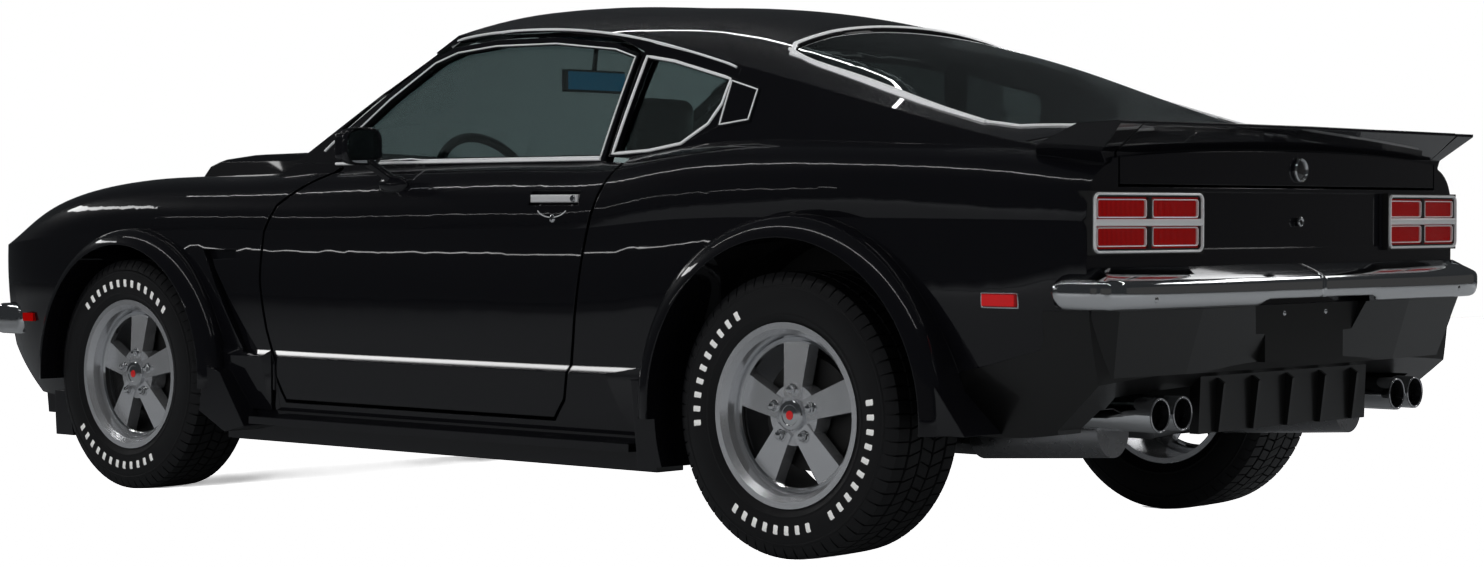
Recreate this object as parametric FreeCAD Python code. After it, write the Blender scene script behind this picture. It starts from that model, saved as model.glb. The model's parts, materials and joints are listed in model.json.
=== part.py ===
import FreeCAD, Part
import math
import os

os.makedirs("parts", exist_ok=True)
Vector = FreeCAD.Vector

# A fastback muscle car. Units are millimetres, X forward, Y to the left, Z up.
# Forward distances are measured from the rear axle; CENTRE_SHIFT centres the car on export.

# Driving dimensions
WHEELBASE = 2500
HUB_HEIGHT = 326
CENTRE_SHIFT = -1240
FIREWALL_X = 1960
GAP = 6
LID_FRONT_GAP = 11
HOOD_REAR_GAP = 9
GLASS = 5
PANE_INSET = 6
HOOD_THICKNESS = 24
LID_THICKNESS = 20
OFFCUT_VOLUME = 5000

# The bowed ends of the body seen from above: centre, and where the bow passes 1 m out
REACH = 1000
SKY = 1400
FLANK_Y = 300
TAIL_X = -802
TAIL_SIDE_X = -744
TAIL_WALL = 45
NOSE_X = 3282
NOSE_SIDE_X = 3224
NOSE_WALL = 60

# Wheels: rim flange face (half track outside), tyre section and arch
RIM_RADIUS = 205
RIM_LIP_RADIUS = 211
RIM_FACE_FRONT = 832
RIM_FACE_REAR = 869
SPOKE_INSET = 26
SPOKE_DEPTH = 36
TYRE_WIDTH_FRONT = 216
TYRE_WIDTH_REAR = 252
SIDEWALL_BULGE = 12
TYRE_FACETS = 60
BED_DEPTH = 9
LIP_DEPTH = 4
BEAD_CLEARANCE = 0.1
SPOKES = 5
ARCH_FRONT = 368
ARCH_REAR = 402
FLARE_FRONT = 412
FLARE_REAR = 455
FLARE_REAR_SHIFT = 15
FLARE_FACE_FRONT = 872
FLARE_FACE_REAR = 900
WELL_INNER_FRONT = 462
WELL_INNER_REAR = 600
STEER_PIVOT_Y = 664

# Running fits: clearance round a shaft in its bore, and the pins that carry doors and lids
RUNNING = 0.3
SPINDLE_RADIUS = 20
KINGPIN_RADIUS = 8
STEERING_SHAFT_RADIUS = 10
DOOR_PIN = (1885, 802)
DOOR_PIN_RADIUS = 4.5
DOOR_PIN_LEVELS = (340, 560)
HOOD_PIN = (2102, 890)
HOOD_PIN_RADIUS = 4
HOOD_PIN_Y = 240
LID_PIN = (-562, 963)
LID_PIN_RADIUS = 3.5
LID_PIN_Y = 110

# Walls: depth of a door or side wall, of the roof, and the floor levels
SIDE_WALL = 92
ROOF_WALL = 30
PILLAR_WALL = 36
FLOOR_TOP = 235
FLOOR_BOTTOM = 190
SILL_BOTTOM = 165
KICK_UP_X = 620
BOOT_FLOOR_TOP = 486
BOOT_FLOOR_BOTTOM = 456
TUNNEL_HALF_WIDTH = 140
TUNNEL_TOP = 412
TUNNEL_WALL = 8

# Half sections of the lower body from tail to nose:
# station, sill (y, z), waist y, crease (y, z), shoulder (y, z), top edge (y, z), centre z
BODY_STATIONS = (
    (-840, (696, 300), 764, (775, 765), (767, 826), (698, 892), 896),
    (-600, (725, 300), 792, (795, 768), (784, 858), (706, 915), 905),
    (-300, (735, 300), 806, (803, 771), (788, 889), (712, 935), 920),
    (0, (738, 280), 810, (806, 773), (788, 903), (712, 948), 930),
    (300, (740, 220), 811, (804, 771), (786, 896), (708, 952), 940),
    (500, (742, 196), 811, (802, 762), (783, 880), (703, 936), 930),
    (700, (744, 190), 811, (800, 746), (780, 852), (700, 914), 910),
    (1000, (745, 190), 811, (800, 742), (780, 844), (700, 910), 905),
    (1400, (745, 190), 811, (800, 741), (780, 838), (699, 906), 900),
    (1800, (744, 190), 810, (800, 738), (780, 832), (692, 896), 905),
    (2100, (742, 200), 808, (800, 736), (780, 831), (676, 886), 905),
    (2500, (738, 240), 804, (799, 732), (778, 828), (664, 884), 900),
    (2800, (728, 240), 796, (793, 722), (768, 808), (652, 862), 882),
    (3000, (712, 240), 782, (782, 708), (752, 772), (638, 830), 854),
    (3150, (686, 250), 750, (757, 696), (722, 736), (618, 794), 822),
    (3300, (634, 272), 684, (694, 682), (658, 700), (574, 742), 768),
)

# Half sections of the cabin top: station, foot (y, z), drip rail (y, z), centre z
ROOF_STATIONS = (
    (-840, (733, 778), (705, 887), 914),
    (-600, (745, 780), (698, 925), 965),
    (-400, (752, 800), (688, 962), 1018),
    (-150, (752, 800), (668, 1020), 1108),
    (100, (748, 800), (648, 1078), 1196),
    (350, (738, 800), (636, 1138), 1257),
    (550, (732, 800), (630, 1184), 1297),
    (800, (730, 800), (626, 1228), 1322),
    (1100, (730, 800), (624, 1248), 1339),
    (1400, (728, 800), (622, 1246), 1334),
    (1800, (724, 800), (616, 1236), 1312),
    (2150, (720, 800), (610, 1226), 1300),
)

# Windscreen: foot at the centre and at the pillar, and the slope of the glass
SCREEN_FOOT_CENTRE = (2080, 920)
SCREEN_FOOT_PILLAR_X = 1945
SCREEN_PILLAR_Y = 640
SCREEN_RUN = 744
SCREEN_RISE = 400
SCREEN_OPENING = ((-640, 936), (640, 936), (566, 1262), (-566, 1262))

# Door outline as (x, z), seen from the side
DOOR_OUTLINE = (
    (1720, 905), (1780, 873), (1882, 806), (1930, 736), (1934, 603), (1910, 468), (1885, 374), (1830, 276),
    (800, 276), (761, 326), (747, 395), (730, 474), (709, 620), (691, 747), (652, 851), (634, 902), (634, 912),
    (718, 918), (662, 1178), (757, 1215), (968, 1238), (1189, 1240), (1341, 1226), (1430, 1198), (1577, 1112),
    (1740, 1010),
)
DOOR_TAPER = 10

# Side glass outlines as (x, z)
DOOR_GLASS = ((745, 926), (690, 1164), (757, 1184), (968, 1206), (1189, 1208), (1330, 1196), (1410, 1172),
              (1565, 1080), (1690, 990), (1712, 926))
QUARTER_GLASS = ((694, 934), (640, 1160), (553, 1146), (365, 1098), (375, 1046), (405, 1000), (480, 955), (580, 940))
PILLAR_PLATE = ((358, 1106), (260, 1079), (268, 998), (368, 986))

# Rear window outline as (x, y), seen from above
REAR_GLASS = ((325, 0), (322, 300), (310, 460), (270, 520), (50, 548), (-184, 580), (-365, 592), (-425, 560),
              (-470, 430), (-500, 0))

# Boot lid and bonnet openings
LID_FRONT_X = -540
LID_HALF_WIDTH = 678
LID_BOTTOM = 844
HOOD_REAR_X = 2075
HOOD_FRONT_X = 3236
HOOD_HALF_WIDTH = 628

# Where panels meet, as (x, z) outlines seen from the side
ROOF_SEAM = ((2300, 918), (640, 918), (480, 946), (340, 1000), (340, 1110), (290, 1400), (2300, 1400))
FENDER_SEAM = ((1500, 1400), (1500, 640), (1860, 640), (1860, 0), (3178, 0), (3178, 1400))
COVER_SEAM = ((-900, 575), (-656, 575), (-655, 512), (-642, 490), (-510, 454), (-400, 430), (-400, 200), (-900, 200))
COVER_UNDERCUT = ((-640, 200), (-650, 316), (-741, 393), (-785, 432), (-900, 432), (-900, 200))
NOSE_UNDERCUT = ((3400, 520), (3290, 420), (3100, 235), (3100, 0), (3400, 0))
NOSE_SEAM_X = 3178

# Tail lamps: span across the car, height, and how far bezel and glass stand out from the tail
LAMP_Y = (403, 786)
LAMP_Z = (694, 829)
LAMP_BAR_Z = (756, 768)
LAMP_POST_Y = (588, 600)
LAMP_RIM = 13
BEZEL_PROUD = 14
LENS_PROUD = 8
LAMP_POCKET = 20
TAIL_RECESS = 5
TAIL_RECESS_HALF_WIDTH = 385
TAIL_RECESS_Z = (704, 828)

# Exhaust
TIP_Y = (467, 554)
TIP_Z = 347
TIP_RADIUS = 38
TIP_WALL = 5
TIP_END_X = -797


# Small helpers

def box(x0, x1, y0, y1, z0, z1):
    return Part.makeBox(x1 - x0, y1 - y0, z1 - z0, Vector(x0, y0, z0))


def wide_box(x0, x1, half_width, z0, z1):
    return box(x0, x1, -half_width, half_width, z0, z1)


def rod(start, end, radius):
    start = Vector(*start)
    axis = Vector(*end) - start
    return Part.makeCylinder(radius, axis.Length, start, axis)


def mirrored(shape):
    return shape.mirror(Vector(0, 0, 0), Vector(0, 1, 0))


def pair(shapes):
    return list(shapes) + [mirrored(shape) for shape in shapes]


def fuse(shapes):
    return shapes[0].multiFuse(shapes[1:]).removeSplitter() if len(shapes) > 1 else shapes[0]


def without_offcuts(shape):
    solids = [solid for solid in shape.Solids if solid.Volume > OFFCUT_VOLUME]
    return solids[0] if len(solids) == 1 else Part.makeCompound(solids)


def polygon(points):
    return Part.makePolygon(list(points) + [points[0]])


def side_prism(outline, y0, y1):
    face = Part.Face(polygon([Vector(x, y0, z) for x, z in outline]))
    return face.extrude(Vector(0, y1 - y0, 0))


def top_prism(outline, z0, z1):
    face = Part.Face(polygon([Vector(x, y, z0) for x, y in outline]))
    return face.extrude(Vector(0, 0, z1 - z0))


def front_prism(outline, x0, x1):
    face = Part.Face(polygon([Vector(x0, y, z) for y, z in outline]))
    return face.extrude(Vector(x1 - x0, 0, 0))


def both_halves(outline):
    # closes a half outline given as (x, y) from the left side to the centre line
    return list(outline) + [(x, -y) for x, y in reversed(outline) if y > 0]


def spline(points):
    curve = Part.BSplineCurve()
    curve.interpolate([Vector(*point) for point in points])
    return curve.toShape()


def wheel_drum(axle_x, radius, y0, y1):
    return Part.makeCylinder(radius, y1 - y0, Vector(axle_x, y0, HUB_HEIGHT), Vector(0, 1, 0))


def wheel_turned(edges, axle_x):
    return Part.Face(Part.Wire(edges)).revolve(Vector(axle_x, 0, HUB_HEIGHT), Vector(0, 1, 0), 360)


def end_block(centre_x, side_x, far_x):
    # everything beyond one bowed end of the body
    left = Vector(side_x, REACH, 0)
    right = Vector(side_x, -REACH, 0)
    corners = [right, Vector(far_x, -REACH, 0), Vector(far_x, REACH, 0), left]
    edges = [Part.Arc(left, Vector(centre_x, 0, 0), right).toShape()]
    edges += [Part.makeLine(a, b) for a, b in zip(corners, corners[1:])]
    return Part.Face(Part.Wire(edges)).extrude(Vector(0, 0, SKY))


def behind_tail(inset):
    return end_block(TAIL_X + inset, TAIL_SIDE_X + inset, TAIL_X - 400)


def ahead_of_nose(inset):
    return end_block(NOSE_X - inset, NOSE_SIDE_X - inset, NOSE_X + 400)


# Body surfaces

def body_section(station, wall, over):
    x, sill, waist, crease, shoulder, edge, centre = station
    waist_z = (sill[1] + crease[1]) / 2
    under = wall / 2
    side = [(sill[0] - wall, sill[1] + under), (waist - wall, waist_z), (crease[0] - wall, crease[1])]
    upper = [side[-1], (shoulder[0] - wall, shoulder[1] - over / 2), (edge[0] - wall, edge[1] - over)]
    crown = (edge[1] + centre) / 2 + (centre - edge[1]) / 4 - over
    top = [upper[-1], (edge[0] / 2, crown), (0, centre - over), (-edge[0] / 2, crown), (wall - edge[0], edge[1] - over)]
    foot_y, foot_z = side[0]
    edges = [Part.makeLine(Vector(x, -foot_y, foot_z), Vector(x, foot_y, foot_z))]
    edges.append(spline([(x, y, z) for y, z in side]))
    edges.append(spline([(x, y, z) for y, z in upper]))
    edges.append(spline([(x, y, z) for y, z in top]))
    edges.append(spline([(x, -y, z) for y, z in reversed(upper)]))
    edges.append(spline([(x, -y, z) for y, z in reversed(side)]))
    return Part.Wire(edges)


def lower_body(wall, over):
    return Part.makeLoft([body_section(row, wall, over) for row in BODY_STATIONS], True, False)


def roof_section(station, wall, over):
    x, foot, drip, centre = station
    mid = ((foot[0] + drip[0]) / 2 + 6, (foot[1] + drip[1]) / 2)
    side = [(foot[0] - wall, foot[1]), (mid[0] - wall, mid[1]), (drip[0] - wall, drip[1] - over)]
    crown = drip[1] + (centre - drip[1]) * 0.62 - over
    top = [side[-1], (drip[0] * 0.66, crown), (0, centre - over), (-drip[0] * 0.66, crown),
           (wall - drip[0], drip[1] - over)]
    edges = [Part.makeLine(Vector(x, -side[0][0], side[0][1]), Vector(x, side[0][0], side[0][1]))]
    edges.append(spline([(x, y, z) for y, z in side]))
    edges.append(spline([(x, y, z) for y, z in top]))
    edges.append(spline([(x, -y, z) for y, z in reversed(side)]))
    return Part.Wire(edges)


def cabin_top(wall, over):
    return Part.makeLoft([roof_section(row, wall, over) for row in ROOF_STATIONS], True, False)


def screen_wedge(back):
    # everything ahead of the windscreen surface, moved back by the given depth
    foot_x, foot_z = SCREEN_FOOT_CENTRE
    drop = 600
    rise = 1200
    slope = SCREEN_RUN / SCREEN_RISE
    low = []
    for y in (-900, -SCREEN_PILLAR_Y, 0, SCREEN_PILLAR_Y, 900):
        bow = (foot_x - SCREEN_FOOT_PILLAR_X) * (y / SCREEN_PILLAR_Y) ** 2
        low.append((foot_x - bow + slope * drop - back, y, foot_z - drop))
    far_x = foot_x + slope * drop + 1500
    far = [Vector(far_x, 900, foot_z - drop), Vector(far_x, -900, foot_z - drop)]
    corners = [Vector(*low[-1])] + far + [Vector(*low[0])]
    edges = [spline(low)] + [Part.makeLine(a, b) for a, b in zip(corners, corners[1:])]
    return Part.Face(Part.Wire(edges)).extrude(Vector(-slope * rise, 0, rise))


def side_skirts():
    # a ledge along the bottom of the side; it fades into the skin at both ends and at the door hinge
    rear_view = ((770, 412), (803, 412), (817, 394), (810, 300), (802, 250), (770, 250))
    door_end = DOOR_PIN[0] - GAP
    fender_end = DOOR_PIN[0] + 2 * GAP
    behind_hinge = ((500, 770), (500, 800), (640, 820), (door_end - 32, 820), (door_end, 804), (door_end, 770))
    ahead_of_hinge = ((fender_end, 770), (fender_end, 804), (fender_end + 34, 820), (2040, 820), (2136, 800),
                      (2136, 770))
    band = front_prism(rear_view, 480, 2150)
    return [band.common(top_prism(outline, 200, 500)) for outline in (behind_hinge, ahead_of_hinge)]


def build_body():
    ends = [behind_tail(0), ahead_of_nose(0), side_prism(NOSE_UNDERCUT, -REACH, REACH)]
    skin = fuse([lower_body(0, 0), cabin_top(0, 0).cut(screen_wedge(0))] + pair(side_skirts())).cut(ends)
    room = lower_body(SIDE_WALL, 26).cut(ahead_of_nose(NOSE_WALL))
    room = fuse([room, cabin_top(PILLAR_WALL, ROOF_WALL).cut(screen_wedge(ROOF_WALL))]).cut(behind_tail(TAIL_WALL))
    return skin, room


# Doors

def door_outline(offset):
    face = Part.Face(polygon([Vector(x, 0, z) for x, z in DOOR_OUTLINE]))
    return face.makeOffset2D(offset, 2).OuterWire


def door_plug(outer_offset, inner_offset):
    # the door's edge leans inwards, so that its rear edge clears the body as it swings
    outer = door_outline(outer_offset)
    inner = door_outline(inner_offset)
    outer.translate(Vector(0, 930, 0))
    inner.translate(Vector(0, 540, 0))
    return Part.makeLoft([inner, outer], True, True)


def door_mirror():
    pod = box(1477, 1523, 798, 902, 918, 996)
    pod = pod.makeFillet(16, pod.Edges)
    stem = rod((1430, 765, 862), (1500, 838, 936), 13)
    foot = Part.makeSphere(1)
    shape = FreeCAD.Matrix()
    shape.scale(56, 15, 24)
    shape.move(Vector(1430, 774, 857))
    return [pod, stem, foot.transformGeometry(shape)]


def handle_pocket():
    return box(728, 903, 772, REACH, 801, 837)


def build_door_handle():
    grip = box(733, 898, 772, 797, 808, 828)
    grip = grip.makeFillet(6, [edge for edge in grip.Edges if edge.CenterOfMass.y > 790])
    lock = rod((815, 772, 769), (815, 800, 769), 11)
    return [grip, lock]


def door_hinge_pins():
    # a pin and a goose-neck strap at each level, reaching forward to the door post
    x, y = DOOR_PIN
    pieces = []
    for level in DOOR_PIN_LEVELS:
        pieces.append(rod((x, y, level - 36), (x, y, level + 36), DOOR_PIN_RADIUS))
        pieces.append(box(x - 4, x + 4, y - 44, y + 2, level - 10, level + 10))
        pieces.append(box(x - 4, x + 70, y - 48, y - 40, level - 10, level + 10))
    return pieces


def door_hinge_slots():
    x, y = DOOR_PIN
    tools = []
    for level in DOOR_PIN_LEVELS:
        tools.append(rod((x, y, level - 37), (x, y, level + 37), DOOR_PIN_RADIUS + RUNNING))
        tools.append(box(x - 12, x + 80, y - 120, y + 4, level - 16, level + 16))
    return tools


def build_door(skin, room):
    flank = skin.common(box(400, 2100, FLANK_Y, REACH, 100, SKY)).cut(room)
    door = flank.common(door_plug(-GAP / 2, -GAP / 2 - DOOR_TAPER))
    handle = build_door_handle()
    door = door.cut([side_prism(DOOR_GLASS, FLANK_Y, REACH), handle_pocket(), handle[1]] + door_hinge_slots())
    return fuse([door] + door_mirror()), Part.makeCompound(handle)


def side_glass():
    outer = cabin_top(PILLAR_WALL / 2 - GLASS / 2, 0)
    inner = cabin_top(PILLAR_WALL / 2 + GLASS / 2, 0)
    return [outer.common(side_prism(outline, FLANK_Y, REACH)).cut(inner) for outline in (DOOR_GLASS, QUARTER_GLASS)]


# Bonnet and boot lid

def hood_hinge_pins():
    x, z = HOOD_PIN
    pieces = []
    for y in (-HOOD_PIN_Y, HOOD_PIN_Y):
        pieces.append(rod((x, y - 34, z), (x, y + 34, z), HOOD_PIN_RADIUS))
        pieces.append(box(x - 4, x + 4, y - 10, y + 10, z - 38, z + 2))
        pieces.append(box(FIREWALL_X, x + 4, y - 10, y + 10, z - 44, z - 34))
    return pieces


def hood_hinge_slots():
    x, z = HOOD_PIN
    tools = []
    for y in (-HOOD_PIN_Y, HOOD_PIN_Y):
        tools.append(rod((x, y - 35, z), (x, y + 35, z), HOOD_PIN_RADIUS + RUNNING))
        tools.append(box(x - 80, x + 12, y - 16, y + 16, z - 90, z + 5))
    return tools


def hood_scoop():
    front_view = ((-236, 800), (-204, 940), (-180, 960), (-120, 966), (120, 966), (180, 960), (204, 940), (236, 800))
    side_view = ((2150, 800), (2150, 890), (2330, 956), (2500, 968), (2720, 962), (2860, 948), (2925, 926),
                 (2950, 894), (2950, 800))
    return front_prism(front_view, 2150, 2950).common(side_prism(side_view, -300, 300))


def build_hood(skin):
    under = lower_body(0, HOOD_THICKNESS)
    panel = skin.common(wide_box(HOOD_REAR_X, HOOD_FRONT_X, HOOD_HALF_WIDTH, 600, SKY))
    return fuse([panel, hood_scoop()]).cut([under] + hood_hinge_slots())


def lid_hinge_pins():
    x, z = LID_PIN
    pieces = []
    for y in (-LID_PIN_Y, LID_PIN_Y):
        pieces.append(rod((x, y - 30, z), (x, y + 30, z), LID_PIN_RADIUS))
        pieces.append(box(x - 3, x + 3, y - 10, y + 10, z - 34, z + 2))
        pieces.append(box(x - 3, x + 62, y - 10, y + 10, z - 36, z - 28))
        pieces.append(box(x + 42, x + 62, y - 10, y + 10, z - 36, z + 6))
    return pieces


def lid_hinge_slots():
    x, z = LID_PIN
    tools = []
    for y in (-LID_PIN_Y, LID_PIN_Y):
        tools.append(rod((x, y - 31, z), (x, y + 31, z), LID_PIN_RADIUS + RUNNING))
        tools.append(box(x - 12, x + 80, y - 16, y + 16, z - 60, z + 4))
    return tools


def spoiler_middle():
    # a ducktail lofted from the centre to both edges of the lid
    centre = ((-600, 935), (-600, 957), (-727, 974), (-836, 980), (-838, 973), (-770, 915), (-770, 885))
    edge = ((-585, 905), (-600, 930), (-727, 971), (-835, 978), (-837, 971), (-767, 912), (-767, 885))
    wires = []
    for y, outline in ((-LID_HALF_WIDTH, edge), (0, centre), (LID_HALF_WIDTH, edge)):
        wires.append(polygon([Vector(x, y, z) for x, z in outline]))
    return Part.makeLoft(wires, True, True)


def spoiler_end():
    side_view = ((-585, 890), (-600, 928), (-727, 972), (-835, 977), (-837, 970), (-765, 912), (-765, 880))
    rear_view = ((LID_HALF_WIDTH + GAP, 870), (712, 880), (775, 985), (LID_HALF_WIDTH + GAP, 990))
    return side_prism(side_view, 600, 800).common(front_prism(rear_view, -900, -500))


def build_lid(skin):
    under = fuse([lower_body(0, LID_THICKNESS), cabin_top(0, LID_THICKNESS)])
    under = under.common(wide_box(-756, LID_FRONT_X + 50, REACH, 700, 1100))
    panel = skin.common(wide_box(TAIL_X - 20, LID_FRONT_X, LID_HALF_WIDTH, LID_BOTTOM, 1100))
    badge = rod((TAIL_X - 4, 0, 880), (TAIL_X + 20, 0, 880), 28)
    return fuse([panel, spoiler_middle(), badge]).cut([under] + lid_hinge_slots())


# Flared arches with the spats under them

def flare_ring(axle_x, inner, outer, y_face):
    y_root = 760
    lip = Vector(axle_x, y_face - 10, HUB_HEIGHT + inner)
    crest = Vector(axle_x, y_face, HUB_HEIGHT + inner + 12)
    swell = Vector(axle_x, y_face - 16, HUB_HEIGHT + (inner + outer) / 2 + 14)
    fade = Vector(axle_x, y_face - 62, HUB_HEIGHT + outer)
    root_high = Vector(axle_x, y_root, HUB_HEIGHT + outer)
    root_low = Vector(axle_x, y_root, HUB_HEIGHT + inner)
    edges = [Part.makeLine(root_low, lip), Part.makeLine(lip, crest), Part.Arc(crest, swell, fade).toShape(),
             Part.makeLine(fade, root_high), Part.makeLine(root_high, root_low)]
    return wheel_turned(edges, axle_x).common(box(axle_x - 600, axle_x + 600, 0, REACH, 300, 1000))


def front_arch_pieces():
    spat = ((2136, 372), (2052, 350), (1947, 207), (2030, 188), (2160, 250))
    deflector = ((2860, 262), (2822, 134), (2907, 134), (2915, 262))
    ring = flare_ring(WHEELBASE, ARCH_FRONT - 14, FLARE_FRONT, FLARE_FACE_FRONT)
    return [ring, side_prism(spat, 712, 858), side_prism(deflector, 700, 790)]


def rear_arch_pieces():
    back_wedge = ((-362, 470), (-400, 440), (-508, 303), (-340, 303))
    front_leg = ((480, 389), (455, 182), (372, 188), (360, 389))
    ring = flare_ring(FLARE_REAR_SHIFT, ARCH_REAR - 24, FLARE_REAR, FLARE_FACE_REAR)
    return [ring, side_prism(back_wedge, 712, 866), side_prism(front_leg, 712, 872)]


def vent_pocket():
    outline = ((2185, 682), (2042, 683), (2042, 660), (2141, 655), (2126, 628), (1945, 397), (2014, 404))
    return side_prism(outline, 788, REACH)


# Wheels

def tyre_profile(width, y_face):
    outer = y_face + SIDEWALL_BULGE
    inner = outer - width
    half = ((RIM_RADIUS, 22), (RIM_RADIUS + 22, 5), (RIM_RADIUS + 55, 0), (HUB_HEIGHT - 24, 6), (HUB_HEIGHT - 7, 16),
            (HUB_HEIGHT, 34))
    back = [(radius, inner + depth) for radius, depth in half]
    return back + [(radius, outer - depth) for radius, depth in reversed(half)]


def facet_ring(axle_x, profile):
    # a ring of flats, fine enough to look round
    wires = []
    for radius, y in profile:
        points = []
        for index in range(TYRE_FACETS):
            angle = 2 * math.pi * (index + 0.5) / TYRE_FACETS
            points.append(Vector(axle_x + radius * math.sin(angle), y, HUB_HEIGHT - radius * math.cos(angle)))
        wires.append(polygon(points))
    return Part.makeLoft(wires, True, True)


def build_wheel(axle_x, y_face, width):
    inner = y_face + SIDEWALL_BULGE - width + 22
    bed = y_face - BED_DEPTH
    plate_y = y_face - SPOKE_INSET
    bore_end = y_face - 43
    barrel_profile = ((RIM_RADIUS, inner), (RIM_RADIUS, bed), (RIM_LIP_RADIUS, y_face - LIP_DEPTH),
                      (RIM_LIP_RADIUS, y_face), (RIM_RADIUS - 8, y_face), (RIM_RADIUS - 20, y_face - 14),
                      (RIM_RADIUS - 30, y_face - 66), (RIM_RADIUS - 16, y_face - 84), (RIM_RADIUS - 14, inner))
    points = [Vector(axle_x, y, HUB_HEIGHT + radius) for radius, y in barrel_profile]
    barrel = wheel_turned(polygon(points).Edges, axle_x)
    hub = wheel_drum(axle_x, 70, y_face - 80, plate_y - 6)
    cap = wheel_drum(axle_x, 36, y_face - 80, y_face - 23)
    spoke_root = 24
    spoke_tip = 40
    tip_radius = RIM_RADIUS - 26
    corners = ((-spoke_root, 0, 40), (spoke_root, 0, 40), (spoke_tip, -18, tip_radius), (-spoke_tip, -18, tip_radius))
    outline = [Vector(axle_x + across, plate_y + depth, HUB_HEIGHT + radius) for across, depth, radius in corners]
    spoke = Part.Face(polygon(outline)).extrude(Vector(0, -SPOKE_DEPTH, 0))
    spokes = []
    for index in range(SPOKES):
        turned = spoke.copy()
        turned.rotate(Vector(axle_x, 0, HUB_HEIGHT), Vector(0, 1, 0), 360 / SPOKES * index)
        spokes.append(turned)
    bore = wheel_drum(axle_x, SPINDLE_RADIUS + RUNNING, y_face - 90, bore_end)
    return fuse([barrel, hub, cap] + spokes).cut(bore)


def add_wheels(nodes, name, axle_x, y_face, width):
    wheel = build_wheel(axle_x, y_face, width)
    bed_radius = (RIM_RADIUS + BEAD_CLEARANCE) / math.cos(math.pi / TYRE_FACETS)
    bed = facet_ring(axle_x, ((bed_radius, y_face - width - 20), (bed_radius, y_face + 20)))
    tyre = facet_ring(axle_x, tyre_profile(width, y_face)).cut(bed)
    nodes["wheel_" + name + "_left"] = wheel
    nodes["wheel_" + name + "_right"] = mirrored(wheel)
    nodes["tyre_" + name + "_left"] = tyre
    nodes["tyre_" + name + "_right"] = mirrored(tyre)


# Running gear

def build_knuckle():
    post = rod((WHEELBASE, STEER_PIVOT_Y, 226), (WHEELBASE, STEER_PIVOT_Y, 426), 20)
    kingpin = rod((WHEELBASE, STEER_PIVOT_Y, 198), (WHEELBASE, STEER_PIVOT_Y, 454), KINGPIN_RADIUS)
    stub = rod((WHEELBASE, STEER_PIVOT_Y, HUB_HEIGHT), (WHEELBASE, 744, HUB_HEIGHT), 36)
    drum = wheel_drum(WHEELBASE, 122, 700, 744)
    spindle = wheel_drum(WHEELBASE, SPINDLE_RADIUS, 744, RIM_FACE_FRONT - 44)
    return fuse([post, kingpin, stub, drum, spindle])


def build_front_suspension():
    pieces = [wide_box(WHEELBASE - 60, WHEELBASE + 60, 330, 196, 262),
              wide_box(WHEELBASE - 130, WHEELBASE + 130, 310, 212, 246)]
    half = []
    for lean in (-110, 110):
        half.append(rod((WHEELBASE, STEER_PIVOT_Y, 208), (WHEELBASE + lean, 300, 230), 12))
        half.append(rod((WHEELBASE, STEER_PIVOT_Y, 444), (WHEELBASE + lean, 458, 456), 12))
    for height in (196, 432):
        half.append(rod((WHEELBASE, STEER_PIVOT_Y, height), (WHEELBASE, STEER_PIVOT_Y, height + 24), 18))
    half.append(rod((WHEELBASE, 520, 212), (WHEELBASE, 500, 700), 32))
    bore = rod((WHEELBASE, STEER_PIVOT_Y, 190), (WHEELBASE, STEER_PIVOT_Y, 470), KINGPIN_RADIUS + RUNNING)
    return fuse(pieces + pair(half)).cut(pair([bore]))


def build_rear_axle():
    leaf = side_prism(((-640, 392), (-300, 300), (0, 276), (300, 290), (600, 330), (600, 344), (300, 304),
                       (0, 290), (-300, 314), (-640, 406)), 350, 400)
    half = [
        wheel_drum(0, 130, 690, 780),
        wheel_drum(0, SPINDLE_RADIUS, 780, RIM_FACE_REAR - 44),
        leaf,
        box(-650, -630, 350, 400, 392, BOOT_FLOOR_BOTTOM),
        box(590, 610, 350, 400, 330, BOOT_FLOOR_BOTTOM),
        box(-50, 50, 340, 410, 268, 330),
        rod((-45, 450, 300), (-100, 450, BOOT_FLOOR_BOTTOM), 24),
    ]
    tube = rod((0, -700, HUB_HEIGHT), (0, 700, HUB_HEIGHT), 38)
    return fuse([tube, Part.makeSphere(118, Vector(0, 0, HUB_HEIGHT))] + pair(half))


def build_exhaust():
    half = [
        rod((2200, 244, 340), (2200, 330, SILL_BOTTOM), 22),
        rod((2200, 330, SILL_BOTTOM), (560, 330, SILL_BOTTOM), 22),
        rod((560, 330, SILL_BOTTOM), (300, 330, 235), 22),
        rod((300, 330, 235), (-180, 330, 235), 22),
        rod((-180, 330, 235), (-310, 500, 280), 22),
        rod((-290, 505, 286), (-640, 505, 306), 62),
    ]
    half += [Part.makeSphere(22, Vector(*corner)) for corner in ((2200, 330, SILL_BOTTOM), (560, 330, SILL_BOTTOM))]
    half += [Part.makeSphere(22, Vector(*corner)) for corner in ((300, 330, 235), (-180, 330, 235))]
    bores = []
    for y in TIP_Y:
        half.append(rod((-600, y, TIP_Z), (TIP_END_X, y, TIP_Z), TIP_RADIUS))
        bores.append(rod((-660, y, TIP_Z), (TIP_END_X - 1, y, TIP_Z), TIP_RADIUS - TIP_WALL))
    return fuse(pair(half)).cut(pair(bores))


def build_engine_bay():
    half = [
        box(FIREWALL_X, 3150, 440, 456, 300, 726),
        box(FIREWALL_X, 3150, 440, 640, 716, 726),
        box(FIREWALL_X, 3150, 380, 456, 262, 320),
    ]
    plate_end = FIREWALL_X + 14
    firewall = [wide_box(FIREWALL_X, plate_end, 700, 410, 852), wide_box(FIREWALL_X, plate_end, 430, 200, 411)]
    radiator_wall = [wide_box(3130, 3150, 600, 300, 726), wide_box(3110, 3150, 600, 300, 340)]
    return fuse(firewall + radiator_wall + pair(half) + hood_hinge_pins()).cut(tunnel_inside())


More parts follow.
